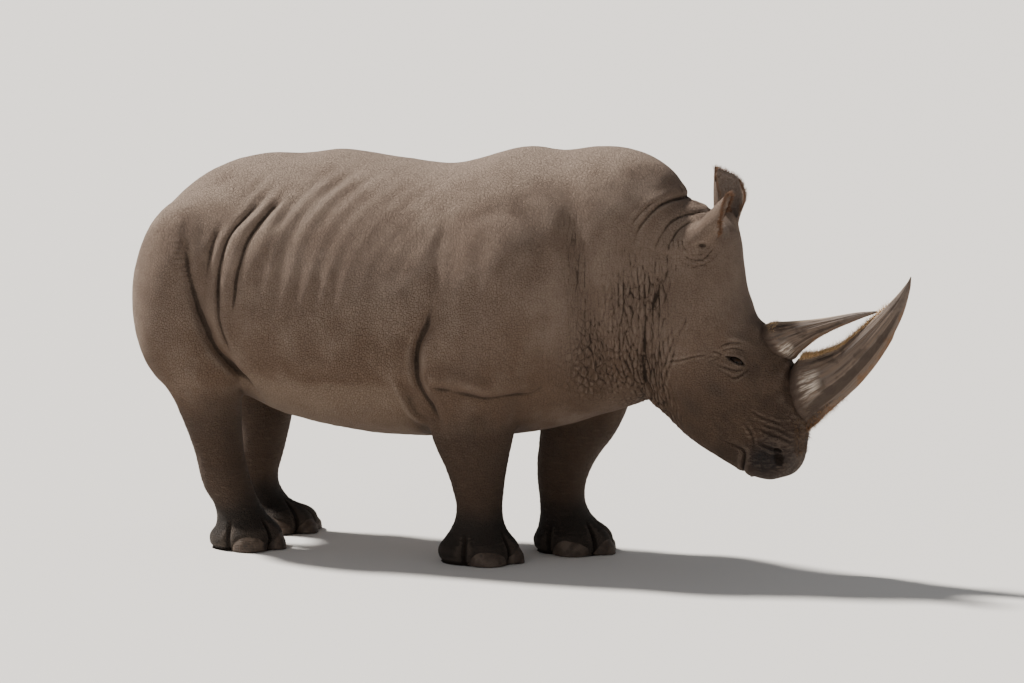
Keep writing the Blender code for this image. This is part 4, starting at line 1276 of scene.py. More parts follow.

# %% [markdown]
# ## What the skin knows about itself
#
# Dust settles on the back, and the pale colour there and on the rump also stands for painted light of
# the key sun. Mud and painted shade stay in the creases, and the feet, muzzle and thighs are darker.
# Such things follow the form, so they are worked out at the points once and kept as attributes for the
# finish.

# %% Attributes of the skin
def mark_skin(mesh):
    """Soft masks from 0 to 1, each of the height, the slope or the distance from a part."""
    points, normals = points_of(mesh), normals_of(mesh)
    x, z = points[:, 0], points[:, 2]
    reach = ear_reach(points)
    patch = 0.10 * noise(points, 5, 61) + 0.05 * noise(points, 14, 62)
    # painted light: faces turned up and towards the tail, where the key sun falls, get the pale colour as
    # well as the real dust on the back
    facing_key_light = normals[:, 2] - 0.35 * normals[:, 0] + 3 * patch
    dust = ramp(facing_key_light, 0.15, 0.95) * ramp(z, 1.10, 1.45) * ramp(x, 0.95, 0.6)
    # painted light: the rump, which the key sun lights from behind, gets the same pale colour
    rump = ramp(x + patch, -1.42, -1.62) * ramp(z, 0.72, 1.0)
    keep(mesh, "dust", np.maximum(dust, 0.8 * rump))
    keep(mesh, "low", ramp(z + patch, 1.25, 0.62))
    near_leg = np.max([ramp(from_leg(name, points), 2.6, 1.5) for name in LEGS], axis=0)
    keep(mesh, "leg", near_leg * ramp(z + 0.5 * patch, 0.74, 0.50))
    keep(mesh, "foot", ramp(z + 0.25 * patch, 0.26, 0.15))
    down_face = (x - 0.66) * 0.65 - (z - 1.15) * 0.76
    keep(mesh, "face", ramp(x, 0.66, 0.80) * ramp(down_face + patch, 0.26, 0.62) * (1 - ramp(reach, 0, 0.1)))
    muzzle = bell(points, (1.175, 0.13, 0.490), (0.105, 0.14, 0.070), -20)
    cheek = bell(points, (0.860, 0.20, 0.700), (0.070, 0.10, 0.040), 40)
    cheek += bell(points, (0.970, 0.19, 0.770), (0.050, 0.10, 0.030), 40)
    keep(mesh, "muzzle", np.clip(1.25 * muzzle + 0.35 * cheek, 0, 1))
    keep(mesh, "belly", ramp(z + 0.4 * patch, 0.755, 0.715) * ramp(x, -1.15, -1.02) * ramp(x, -0.20, -0.40))
    nets = net_weights(points)
    keep(mesh, "net", np.clip(np.maximum(nets["neck"], nets["shoulder"] + nets["band"]), 0, 1))
    inside = np.zeros(len(points))
    for name in EARS:
        _, length, away = ear_polar(name, points)
        near = (np.linalg.norm(away, axis=1) < EAR_NEAR) & (length > 0)
        inward = ramp((away * normals).sum(axis=1), 0.01, -0.02)
        inside = np.maximum(inside, near * inward * ramp(reach, 0.05, 0.2))
    keep(mesh, "inside", inside)


mark_skin(skin.data)
print("attributes", [layer.name for layer in skin.data.attributes if layer.data_type == "FLOAT"])

# %% [markdown]
# ## A small language for finishes
#
# A material is a sum of many soft masks. Written as nodes by hand it is hard to read, so one class
# stands for a number in a material, and the plain signs + - * and so on add the Math nodes.

# %% Numbers in a material
class Number:
    """A number socket of a material; sums with it add Math nodes."""

    def __init__(self, finish, socket):
        self.finish, self.socket = finish, socket

    def math(self, operation, *others, swap=False):
        values = [self, *others][::-1] if swap else [self, *others]
        node = self.finish.node("ShaderNodeMath", {"operation": operation}, dict(enumerate(values)))
        return Number(self.finish, node.outputs[0])

    def __add__(self, other):
        return self.math("ADD", other)

    __radd__ = __add__

    def __mul__(self, other):
        return self.math("MULTIPLY", other)

    __rmul__ = __mul__

    def __sub__(self, other):
        return self.math("SUBTRACT", other)

    def __rsub__(self, other):
        return self.math("SUBTRACT", other, swap=True)

    def __pow__(self, other):
        return self.math("POWER", other)

    def ramp(self, low, high):
        """0 at low, 1 at high, smooth between."""
        node = self.finish.node("ShaderNodeMapRange", {"interpolation_type": "SMOOTHSTEP"},
                                {"Value": self, "From Min": low, "From Max": high})
        return Number(self.finish, node.outputs["Result"])


print("a number also has", [name for name in vars(Number) if not name.startswith("_")])

# %% [markdown]
# ## Finishes
#
# A second class holds a material and adds any other node: its settings first, then what goes into it.

# %% Finishes
class Finish:
    """A material built on one Principled shader, whose plain values are set by name."""

    def __init__(self, name, **plain):
        self.material = bpy.data.materials.new(name)
        self.material.use_nodes = True
        self.tree = self.material.node_tree
        self.shader = self.tree.nodes["Principled BSDF"]
        for label, value in plain.items():
            self.shader.inputs[label.replace("_", " ").title().replace("Ior", "IOR")].default_value = value
        self.place = self.node("ShaderNodeTexCoord").outputs["Object"]

    def node(self, kind, settings=None, inputs=None):
        made = self.tree.nodes.new(kind)
        for label, value in (settings or {}).items():
            setattr(made, label, value)
        for label, value in (inputs or {}).items():
            value = value.socket if isinstance(value, Number) else value
            if isinstance(value, bpy.types.NodeSocket):
                self.tree.links.new(value, made.inputs[label])
            else:
                made.inputs[label].default_value = value
        return made

    def stretched(self, x, y, z, vector=None):
        """Coordinates scaled by three factors: a smaller one makes a pattern longer that way."""
        inputs = {0: vector or self.place, 1: (x, y, z)}
        return self.node("ShaderNodeVectorMath", {"operation": "MULTIPLY"}, inputs).outputs[0]

    def attribute(self, name):
        return Number(self, self.node("ShaderNodeAttribute", {"attribute_name": name}).outputs["Fac"])

    def noise(self, scale, detail=3.0, vector=None):
        node = self.node("ShaderNodeTexNoise", None,
                         {"Vector": vector or self.place, "Scale": scale, "Detail": detail})
        return Number(self, node.outputs["Fac"])

    def cracks(self, scale, width, vector=None):
        """1 on the lines between the cells of a Voronoi pattern, 0 inside the cells."""
        node = self.node("ShaderNodeTexVoronoi", {"feature": "DISTANCE_TO_EDGE"},
                         {"Vector": vector or self.place, "Scale": scale})
        return Number(self, node.outputs["Distance"]).ramp(width, 0.0)

    def mix(self, share, first, second):
        """A colour between two: share 0 is the first."""
        node = self.node("ShaderNodeMix", {"data_type": "RGBA"}, {0: share, 6: first, 7: second})
        return node.outputs[2]

    def layered(self, colour, *coats):
        """A colour under coats of (share, colour), laid one over the other."""
        for share, coat in coats:
            colour = self.mix(share, colour, coat)
        return colour

    def finish(self, colour=None, roughness=None, height=None, distance=0.002):
        if colour is not None:
            self.tree.links.new(colour, self.shader.inputs["Base Color"])
        if roughness is not None:
            self.tree.links.new(roughness.socket, self.shader.inputs["Roughness"])
        if height is not None:
            bump = self.node("ShaderNodeBump", None, {"Height": height, "Distance": distance, "Strength": 1})
            self.tree.links.new(bump.outputs[0], self.shader.inputs["Normal"])
        return self.material


def wear(item, material, *nodes, slot):
    """Gives a piece its finish, its body, and the nodes it stands for; slot is not used."""
    item.data.materials.clear()
    item.data.materials.append(material)
    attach(item, "root")
    if nodes:
        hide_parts(*nodes)
    return item


print("a finish has", [name for name in vars(Finish) if not name.startswith("_")])

# %% [markdown]
# ## Hide
#
# The hide is bare, thick and matt: grey taupe above, warmer and darker towards the belly and legs,
# almost black on the feet and muzzle, with pale dust on the back; that pale colour on the back and rump
# is also painted light of the key sun. Painted shade darkens the grooves, hollows and nets of wrinkles.
# Close to, it is a mosaic of small pads between fine cracks, drawn out upright on the neck. The finish
# is a stack of coats, each laid on by a share from 0 to 1.

# %% Finish of the hide
TAUPE, WARM, PALE_DUST_AND_LIGHT = (0.165, 0.116, 0.088, 1), (0.122, 0.078, 0.053, 1), (0.310, 0.238, 0.188, 1)
LEG_BROWN, FOOT_BLACK = (0.058, 0.037, 0.026, 1), (0.026, 0.022, 0.019, 1)
MUZZLE_GREY, CREASE_DIRT_AND_SHADE = (0.024, 0.020, 0.020, 1), (0.030, 0.020, 0.014, 1)
BELLY_PALE, EAR_INSIDE_PALE_AND_LIT = (0.195, 0.140, 0.102, 1), (0.340, 0.270, 0.225, 1)


def hide_finish():
    hide = Finish("hide", roughness=0.85, specular_ior_level=0.22)
    low, belly, dust, face, leg, foot = map(hide.attribute, ("low", "belly", "dust", "face", "leg", "foot"))
    muzzle, inside, net, groove, hollow = map(hide.attribute, ("muzzle", "inside", "net", "groove", "hollow"))
    cloud, blotch, speckle = hide.noise(1.8, 4), hide.noise(7, 4), hide.noise(45, 3)
    long_pads = hide.cracks(60, 0.10, hide.stretched(1.0, 1.0, 0.38))
    lines = long_pads * net + hide.cracks(85, 0.12) * (1 - net)
    # painted shade, with some dirt: darker in the grooves and hollows of the skin and in the cracks between
    # pads, more so in the nets of wrinkles
    deep = groove.ramp(0.12, 0.9) * (0.55 + net * 0.30) + hollow.ramp(0.3, 1.0) * 0.22
    deep = deep + lines * (0.15 + net * 0.30) + (0.55 - speckle).ramp(0.0, 0.3) * 0.12
    colour = hide.layered(
        TAUPE,
        ((low + (cloud - 0.5) * 0.9).ramp(0.1, 0.9), WARM),
        ((cloud * 0.5 + blotch * 0.5).ramp(0.42, 0.66) * 0.35, PALE_DUST_AND_LIGHT),
        (belly * (0.45 + blotch * 0.5), BELLY_PALE),
        # dust on the back, and painted light of the key sun on the back and rump
        ((dust * (0.45 + blotch * 0.9) - groove * 0.25).ramp(0.0, 1.0) * 0.85, PALE_DUST_AND_LIGHT),
        (face * (0.30 + blotch.ramp(0.38, 0.66) * 0.6), LEG_BROWN),
        (leg * (0.45 + blotch * 0.6), LEG_BROWN),
        (foot * (0.7 + speckle * 0.3), FOOT_BLACK),
        (muzzle * (0.55 + speckle * 0.7), MUZZLE_GREY),
        # the inside of the ears paler: its own paler skin, brightened further as painted light
        (inside * 0.85, EAR_INSIDE_PALE_AND_LIT),
        # painted shade: the neck and the valley before the shoulder blade, where the nets of wrinkles lie,
        # darker
        (net * (0.30 + blotch * 0.40), LEG_BROWN),
        # painted shade and dirt in the creases
        (deep, CREASE_DIRT_AND_SHADE),
        # painted light: the crests of the wrinkles lighter
        (groove.ramp(-0.2, -0.9) * 0.16, PALE_DUST_AND_LIGHT),
    )
    rings = hide.cracks(95, 0.12, hide.stretched(0.45, 0.45, 1.0)) * (face + leg)
    pleats = hide.cracks(34, 0.16, hide.stretched(1.0, 1.0, 0.20)) * (0.35 + net * 0.65)
    height = hide.noise(16, 3) * 0.60 + speckle * 0.45 + hide.noise(160, 2) * 0.12
    height = height - lines * 0.60 - hide.cracks(230, 0.16) * 0.20 - rings * 0.55 - pleats * 0.55
    return hide.finish(colour, 0.92 - muzzle * 0.30 - foot * 0.12, height, 0.006)


FLESH = [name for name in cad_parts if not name.startswith(("horn", "nail", "eye"))]
wear(skin, hide_finish(), *FLESH, slot="hide")
print("skin stands for", len(FLESH), "nodes")

# %% [markdown]
# ## Horns
#
# A rhinoceros's horn has no bone in it. It is a bundle of hard hairs, so it shows long fibres, frays
# at its root and along its edges, and polishes to a smooth point. Each horn is a loft of leaning
# ovals, with grooves that run along it and fade towards the tip.

# %% Loft and carve the horns
HORN_FRONT = [
    Station((1.200, 0.800), (1.225, 0.620), 0.055), Station((1.265, 0.890), (1.300, 0.605), 0.098),
    Station((1.330, 0.905), (1.380, 0.672), 0.088), Station((1.430, 0.945), (1.470, 0.755), 0.067),
    Station((1.520, 1.018), (1.575, 0.875), 0.050), Station((1.600, 1.090), (1.652, 0.990), 0.036),
    Station((1.665, 1.155), (1.700, 1.090), 0.024), Station((1.712, 1.212), (1.727, 1.185), 0.011),
    Station((1.731, 1.243), (1.733, 1.239), 0.002),
]
HORN_REAR = [
    Station((1.070, 1.000), (1.140, 0.880), 0.045), Station((1.138, 1.028), (1.224, 0.880), 0.078),
    Station((1.195, 1.034), (1.273, 0.925), 0.065), Station((1.285, 1.046), (1.332, 0.973), 0.047),
    Station((1.390, 1.064), (1.418, 1.018), 0.031), Station((1.500, 1.087), (1.513, 1.059), 0.017),
    Station((1.590, 1.097), (1.592, 1.091), 0.003),
]
HORN_RING, HORN_STEPS = 120, 24


def ring_map(mesh, rows, ring):
    """A map of a loft: round it one way, along it the other, with the ends' faces in a corner."""
    corner = corners_of(mesh)
    quads = corner[:4 * (rows - 1) * ring].reshape(-1, 4)
    row, turn = quads // ring, quads % ring
    turn = np.where((np.ptp(turn, axis=1, keepdims=True) > 1) & (turn == 0), ring, turn)
    flat = np.full((len(corner), 2), 0.999)
    flat[:quads.size] = np.stack([turn / ring, row / (rows - 1)], axis=-1).reshape(-1, 2) * 0.98 + 0.005
    give_map(mesh, flat)


def horn_piece(name, stations, groove, keel):
    """Rings moved in and out: fibres as noise of (angle, length), grooves beside a keel, and the keel."""
    rings = station_rings(stations, HORN_RING, HORN_STEPS)
    rows = len(rings)
    u = np.linspace(0, 1, rows)[:, None] + 0 * rings[..., 0]
    theta = np.linspace(0, 2 * pi, HORN_RING, endpoint=False)[None, :] + 0 * u
    middle = rings.mean(axis=1, keepdims=True)
    outward = unit(rings - middle)

    def fibre(across, along, seed):
        place = np.stack([np.cos(theta) * across, np.sin(theta) * across, u * along], axis=-1)
        return noise(place.reshape(-1, 3), 1.0, seed).reshape(u.shape)

    worn = ramp(u, 0.55, 0.15)
    strength = 0.0006 + 0.0022 * ramp(u, 0.95, 0.30)
    shape = strength * (fibre(6, 4, 71) + 0.8 * fibre(14, 7, 72) + 0.5 * fibre(30, 12, 73))
    shape += 0.0022 * worn * fibre(20, 60, 74) * np.abs(fibre(5, 9, 75))
    shape += 0.0035 * ramp(u, 0.9, 0.2) * fibre(2.5, 5, 76)
    beside, below = np.exp(-((np.abs(theta - pi) - 0.95) / 0.22) ** 2), np.exp(-((theta - pi) / 0.45) ** 2)
    shape -= groove * beside * ramp(u, 0.12, 0.25) * ramp(u, 0.80, 0.60)
    shape += keel * below * ramp(u, 0.30, 0.45) * ramp(u, 0.66, 0.62)
    size = np.linalg.norm(rings - middle, axis=-1)
    rings = rings + outward * np.clip(shape, -0.3 * size, 0.3 * size)[..., None]
    mesh = loft(name, rings)
    ring_map(mesh, rows, HORN_RING)
    keep(mesh, "along", u.ravel())
    keep(mesh, "top", np.cos(theta).ravel())
    keep(mesh, "carved", np.clip(shape / 0.004, -1, 1).ravel())
    mesh.shade_smooth()
    return new_object(name + "_keratin", mesh), rings


front_horn, front_rings = horn_piece("front_horn", HORN_FRONT, 0.008, 0.007)
rear_horn, rear_rings = horn_piece("rear_horn", HORN_REAR, 0.002, 0.0)
print("horn triangles", triangle_count(front_horn.data), triangle_count(rear_horn.data))

# %% [markdown]
# ## Finish of the horns
#
# Weathered horn is grey brown, ivory where it is newly worn at the sides of the root, and amber along
# the thin lower edge. The point is darker and smoother. Its carved grooves get painted shade. Fine lines
# run along it, read off the map.

# %% Finish of the horns
HORN_BROWN, HORN_GREY = (0.135, 0.092, 0.066, 1), (0.095, 0.072, 0.058, 1)
HORN_DARK, HORN_SKIN = (0.042, 0.027, 0.019, 1), (0.062, 0.041, 0.030, 1)
HORN_IVORY, HORN_AMBER = (0.500, 0.430, 0.360, 1), (0.150, 0.070, 0.028, 1)
HORN_EDGE = (0.440, 0.330, 0.225, 1)


def horn_finish(name, streak_low, streak_high, streak_top):
    """Ivory lies between two lengths, round one height of the horn's side."""
    horn = Finish(name, roughness=0.55, specular_ior_level=0.35)
    along, top, carved = map(horn.attribute, ("along", "top", "carved"))
    spread = horn.node("ShaderNodeUVMap", {"uv_map": "OFBake"}).outputs[0]
    lines = horn.noise(1.0, 3, horn.stretched(60, 5, 1, spread))
    hairs = horn.noise(1.0, 3, horn.stretched(220, 14, 1, spread))
    blotch = horn.noise(16, 4)
    # painted shade: darker in the horn's carved grooves, besides random blotches
    dark = blotch.ramp(0.48, 0.62) * 0.55 + (0 - carved).ramp(0.15, 1.0) * 0.8
    amber = (0 - top + (blotch - 0.5) * 1.2 + (lines - 0.5) * 0.9).ramp(0.78, 1.10) * along.ramp(0.20, 0.32)
    streak = along.ramp(streak_low, streak_low + 0.05) * along.ramp(streak_high, streak_high - 0.06)
    streak = streak * (top - streak_top).math("ABSOLUTE").ramp(0.60, 0.15)
    streak = streak * (hairs * 0.5 + lines * 0.5).ramp(0.44, 0.58)
    colour = horn.layered(
        HORN_BROWN,
        (lines.ramp(0.35, 0.65), HORN_GREY),
        (dark.ramp(0.0, 1.0), HORN_DARK),
        (along.ramp(0.60, 0.98) * 0.6, HORN_GREY),
        (amber * 0.8, HORN_AMBER),
        (streak * 0.85, HORN_IVORY),
        ((top + (hairs - 0.5) * 0.3).ramp(0.86, 1.0) * 0.7, HORN_EDGE),
        ((along + (lines - 0.5) * 0.14 + top * 0.03).ramp(0.21, 0.11), HORN_SKIN),
    )
    height = lines * 0.5 + hairs * 0.5 + horn.noise(120, 2) * 0.25
    return horn.finish(colour, 0.72 - along.ramp(0.5, 1.0) * 0.25, height, 0.0022)


wear(front_horn, horn_finish("front_horn", 0.12, 0.30, 0.15), "horn_front", slot="horn")
wear(rear_horn, horn_finish("rear_horn", 0.14, 0.34, -0.55), "horn_rear", slot="horn")
print("horns dressed")

# %% [markdown]
# ## Toenails
#
# Each foot has three broad nails. They are curved shields that wrap the front of a toe and reach the
# ground, worn pale at the lower edge. A nail is a sheet over (across, up), bent round the foot's own
# oval, with a domed middle and edges that dive into the hide.

# %% Shape the toenails
NAIL_ANGLES = {"inner": 63, "middle": 0, "outer": -63}
NAIL_SPAN, NAIL_TOP, NAIL_LOW = 33, 0.098, 0.0026
NAIL_MIDDLE_SHARE = 0.68
NAIL_PROUD, NAIL_DIVE, NAIL_WALL = 0.035, 0.014, 0.018
NAIL_RIDGE, NAIL_RIDGES, NAIL_LEAN = 0.0006, 9, 0.006
NAIL_COLUMNS, NAIL_ROWS = 49, 33


def nail_piece(leg, toe):
    """Axis + half sizes x (cos, sin) of the angle + outwards x a dome, which dives in at its edges."""
    side = LEGS[leg][0]
    s, t = np.meshgrid(np.linspace(-1, 1, NAIL_COLUMNS), np.linspace(0, 1, NAIL_ROWS), indexing="xy")
    span = NAIL_SPAN * (NAIL_MIDDLE_SHARE if toe == "middle" else 1.0)
    angle = np.radians(NAIL_ANGLES[toe] * -side + FOOT_TURN[leg] + s * span)
    crown = NAIL_TOP * (0.25 + 0.75 * np.abs(1 - s**2) ** 0.55)
    z = NAIL_LOW + (crown - NAIL_LOW) * t
    _, (x, y, a, b) = section_at(leg, z)
    outward = unit(np.stack([np.cos(angle) / a, np.sin(angle) / b, 0 * z], axis=-1))
    dome = (1 - np.abs(s) ** 2.8) * np.cos(t * pi / 2) ** 0.3
    wave = noise(np.stack([s, t, 0 * s], -1).reshape(-1, 3), 2.0, 81).reshape(s.shape)
    ridges = NAIL_RIDGE * np.cos(2 * pi * t * NAIL_RIDGES + 2 * wave)
    proud = (NAIL_PROUD + NAIL_DIVE) * dome - NAIL_DIVE + ridges * dome - NAIL_LEAN * t - NAIL_WALL / 2
    points = np.stack([x + a * np.cos(angle), side * y + b * np.sin(angle), z], axis=-1)
    points = points + outward * proud[..., None]
    mesh = shell(f"nail_{leg}_{toe}", points, np.full(s.shape, NAIL_WALL))
    keep(mesh, "up", np.tile(t.ravel(), 2))
    mesh.shade_smooth()
    return new_object(f"toenail_{leg}_{toe}", mesh)


NAIL_BROWN, NAIL_PALE = (0.058, 0.038, 0.026, 1), (0.105, 0.076, 0.056, 1)
NAIL_DARK = (0.026, 0.021, 0.018, 1)


def nail_finish():
    nail = Finish("toenail", roughness=0.5, specular_ior_level=0.4)
    blotch, fine = nail.noise(22, 4), nail.noise(90, 3, nail.stretched(1, 1, 4))
    colour = nail.layered(
        NAIL_BROWN,
        (blotch.ramp(0.40, 0.62), NAIL_PALE),
        (nail.attribute("up").ramp(0.55, 0.95), NAIL_DARK),
        ((fine * 0.6 + blotch * 0.4).ramp(0.50, 0.36) * 0.6, NAIL_DARK),
    )
    return nail.finish(colour, 0.45 + fine * 0.4, fine * 0.6 + nail.noise(200, 2) * 0.4, 0.002)


keratin = nail_finish()
nails = [wear(nail_piece(leg, toe), keratin, f"nail_{leg}_{toe}", slot="toenail")
         for leg in LEGS for toe in NAIL_ANGLES]
print(len(nails), "toenails")

# %% [markdown]
# ## Eyes
#
# The ball is seen only through the slit of the lids. It is a sphere with a slightly raised cornea in
# front. Each point keeps its angle from the line of sight, which the finish reads as pupil, brown iris
# and dark rim.

# %% Eyeballs
GAZE = np.array([0.28, 1.0, -0.10])
CORNEA_RISE, CORNEA_ANGLE = 0.05, 0.55
EYE_ROWS, EYE_RING, EYE_POLE = 48, 64, 0.03


def eye_piece(name, side):
    """Centre + radius x direction, the radius larger by a bell of the angle from the gaze."""
    polar = np.linspace(EYE_POLE, pi - EYE_POLE, EYE_ROWS)[:, None]
    theta = np.linspace(0, 2 * pi, EYE_RING, endpoint=False)[None, :]
    gaze = unit(GAZE * np.array([1, side, 1]))
    level = unit(np.cross(gaze, (0, 0, 1)))
    over = np.cross(level, gaze)
    radius = EYE_RADIUS * (1 + CORNEA_RISE * np.exp(-(polar / CORNEA_ANGLE) ** 4))
    rings = (EYE_CENTRE * np.array([1, side, 1]) + (radius * np.cos(polar))[..., None] * gaze
             + (radius * np.sin(polar) * np.cos(theta))[..., None] * level
             + (radius * np.sin(polar) * np.sin(theta))[..., None] * over)
    mesh = loft(name, rings)
    keep(mesh, "polar", np.repeat(polar.ravel(), EYE_RING))
    keep(mesh, "level", (np.sin(polar) * np.abs(np.sin(theta))).ravel())
    mesh.shade_smooth()
    return new_object(name + "_ball", mesh)


IRIS_DARK, IRIS_BROWN = (0.012, 0.006, 0.003, 1), (0.024, 0.011, 0.005, 1)
PUPIL_BLACK, EYE_RIM = (0.002, 0.002, 0.002, 1), (0.010, 0.007, 0.006, 1)


def eye_finish():
    eye = Finish("eye", roughness=0.20, specular_ior_level=0.12)
    polar, level = map(eye.attribute, ("polar", "level"))
    return eye.finish(eye.layered(
        IRIS_DARK,
        (eye.noise(260, 2).ramp(0.3, 0.7), IRIS_BROWN),
        ((polar + level * 0.5).ramp(0.26, 0.20), PUPIL_BLACK),
        (polar.ramp(0.50, 0.60), EYE_RIM),
    ))


glass = eye_finish()
for name, side in (("eye_right", -1), ("eye_left", 1)):
    wear(eye_piece(name, side), glass, name, slot="eye")
print("eyes set")

# %% [markdown]
# ## Hair and frayed fibres
#
# A rhinoceros is bare but for lashes, fringes on the ears and a brush on the tail, and its horns fray
# into fibres. Each strand is a bent three sided spike. All strands of a kind are one mesh, made from
# arrays of roots, directions and lengths. On the map each strand is one small patch at its root's place.

# %% Strands
STRAND_TURNS = np.array([0.0, 1 / 3, 2 / 3]) * 2 * pi
STRAND_ROWS = np.array([0.0, 0.35, 0.7])
STRAND_EDGES = ((0, 1), (1, 2), (2, 0))
STRAND_POINTS = 10
PATCH = 0.0015
random = np.random.default_rng(4)


def strands(name, roots, ways, lengths, widths, bends, places):
    """Rings at root + way L t + bend L t^2, of radius width (1 - t), closed by a point at t = 1."""
    count = len(roots)
    ways = unit(ways)
    side = unit(np.cross(ways, (0.31, 0.52, 0.79)))
    over = np.cross(side, ways)
    t = STRAND_ROWS[None, :, None, None]
    length = lengths[:, None, None, None]
    line = roots[:, None, None] + ways[:, None, None] * length * t + bends[:, None, None] * length * t**2
    angle = STRAND_TURNS[None, None, :, None]
    turn = np.cos(angle) * side[:, None, None] + np.sin(angle) * over[:, None, None]
    rings = (line + turn * widths[:, None, None, None] * (1 - t)).reshape(count, -1, 3)
    tips = roots + (ways + bends) * lengths[:, None]
    points = np.concatenate([rings, tips[:, None]], axis=1)
    pattern = [(r + a, r + b, r + 3 + b, r + 3 + a) for r in (0, 3) for a, b in STRAND_EDGES]
    pattern += [(6, 7, 9), (7, 8, 9), (8, 6, 9), (2, 1, 0)]
    starts = range(0, STRAND_POINTS * count, STRAND_POINTS)
    faces = [tuple(start + k for k in face) for start in starts for face in pattern]
    mesh = mesh_from(name, points, faces)
    local = [(np.cos(a) * (1 - r), np.sin(a) * (1 - r)) for r in STRAND_ROWS for a in STRAND_TURNS]
    spots = (places[:, None] + PATCH * np.array(local + [(0, 0)])[None]).reshape(-1, 2)
    give_map(mesh, spots[corners_of(mesh)])
    keep(mesh, "tip", np.tile(np.append(np.repeat(STRAND_ROWS, 3), 1.0), count))
    keep(mesh, "pick", np.repeat(random.random(count), STRAND_POINTS))
    return new_object(name, mesh)


def skin_places(roots):
    """The places of roots on the skin's map, from the nearest skin points."""
    return np.array([skin_map[skin_tree.find(root)[1]] for root in roots])


def hair_finish(name, dark, light):
    """Darker at the root and lighter at the tip, with a tint of its own for each strand."""
    hair = Finish(name, specular_ior_level=0.3)
    one, tip = map(hair.attribute, ("pick", "tip"))
    return hair.finish(hair.mix((one * 0.7 + tip * 0.4).ramp(0.1, 1.0), dark, light), 0.6 + one * 0.2)


def spread_ways(ways, spread):
    return unit(ways + spread * random.normal(size=ways.shape))


# %% [markdown]
# ## Roots on the skin
#
# Hairs are rooted at points of the skin picked by place and number. A tree of all the points finds the
# one nearest to any other root.

# %% Roots of the hair
skin_points, skin_normals = points_of(skin.data), normals_of(skin.data)
skin_tree = KDTree(len(skin_points))
for index, point in enumerate(skin_points):
    skin_tree.insert(point, index)
skin_tree.balance()
ROOT_DEPTH, ROOT_SCATTER = 0.0015, 0.0012


def pick(mask, count):
    """Chosen skin points under a mask."""
    found = np.flatnonzero(mask)
    return found[random.integers(0, len(found), count)]


def grow(name, chosen, ways, lengths, width, bend, material):
    """A coat piece whose strands are rooted a little under chosen skin points."""
    roots = skin_points[chosen] - skin_normals[chosen] * ROOT_DEPTH
    roots = roots + random.normal(size=roots.shape) * ROOT_SCATTER
    widths = width * (0.7 + 0.6 * random.random(len(chosen)))
    item = strands(name, roots, ways, lengths, widths, bend, skin_map[chosen])
    item.data.shade_smooth()
    return wear(item, material, slot="hide")


print("skin points to root on", len(skin_points))

# %% [markdown]
# ## Ear fringes, lashes and the tail's brush
#
# Fringe hairs stand along the ear rims and lean outwards, lashes curve out of the upper lid, and the
# brush hangs from the tail's end.

# %% Grow the hair
RIM_COUNT, CUP_COUNTS = 1700, {"ear_right": 900, "ear_left": 250}
LASH_COUNT, BRUSH_COUNT, MUZZLE_COUNT = 70, 1200, 900


def ear_hair(name):
    """Rim hairs point along the ear and off its rim; inner hairs lie along the cup."""
    _, length, away = ear_polar(name, skin_points)
    _, along, front, _ = ear_frame(name)
    distance = np.linalg.norm(away, axis=1)
    outward = (unit(away) * skin_normals).sum(axis=1)
    share = length / EAR_LENGTH
    near = (distance < EAR_NEAR) & (share > 0.30)
    top = near & (skin_normals @ along > 0.45) & (share > 0.55)
    edge = near & (np.abs(outward) < 0.45) & (skin_normals @ front > 0.3)
    inner = near & (outward < -0.3) & (share < 0.95)
    rims, cups = pick(top | edge, RIM_COUNT), pick(inner, CUP_COUNTS[name])
    chosen = np.concatenate([rims, cups])
    ways = np.concatenate([along * 0.8 + 0.9 * skin_normals[rims], along + 0.5 * skin_normals[cups]])
    lengths = [random.uniform(0.008, 0.022, len(rims)), random.uniform(0.010, 0.022, len(cups))]
    lengths = np.concatenate(lengths)
    bends = 0.25 * random.normal(size=ways.shape)
    return grow(name + "_hair", chosen, spread_ways(ways, 0.30), lengths, 0.0007, bends, ear_fur)


def lashes(name, side):
    """Lashes on the upper lid's edge, outwards and down."""
    centre, along, up, outward = eye_frame(side)
    offset = skin_points - centre
    a, b, c = offset @ along, offset @ up, offset @ outward
    mask = (np.abs(a) < 0.036) & (b > 0.001) & (b < 0.012) & (c > 0.018) & (skin_normals @ up < 0.2)
    chosen = pick(mask, LASH_COUNT)
    ways = spread_ways(np.tile(outward - up * 0.55, (LASH_COUNT, 1)) + np.outer(a[chosen] * 12, along), 0.12)
    bends = np.tile(up * 0.35, (LASH_COUNT, 1))
    return grow(name, chosen, ways, random.uniform(0.008, 0.014, LASH_COUNT), 0.0006, bends, dark_hair)


def brush():
    """Stiff hairs round the last part of the tail, longest at its end, hanging down."""
    z = skin_points[:, 2]
    chosen = pick((skin_charts_by_point == "tail") & (z < 0.88), BRUSH_COUNT)
    ways = skin_normals[chosen] * np.array([0.55, 0.25, 0.1]) + np.array([0.10, 0.0, -1.0])
    low = ramp(z[chosen], 0.88, 0.73)
    lengths = random.uniform(0.06, 0.115, BRUSH_COUNT) * (0.50 + 0.6 * low)
    bends = np.tile([0.10, 0, -0.10], (BRUSH_COUNT, 1)) + 0.06 * random.normal(size=ways.shape)
    return grow("tail_brush", chosen, spread_ways(ways, 0.12), lengths, 0.0011, bends, dark_hair)


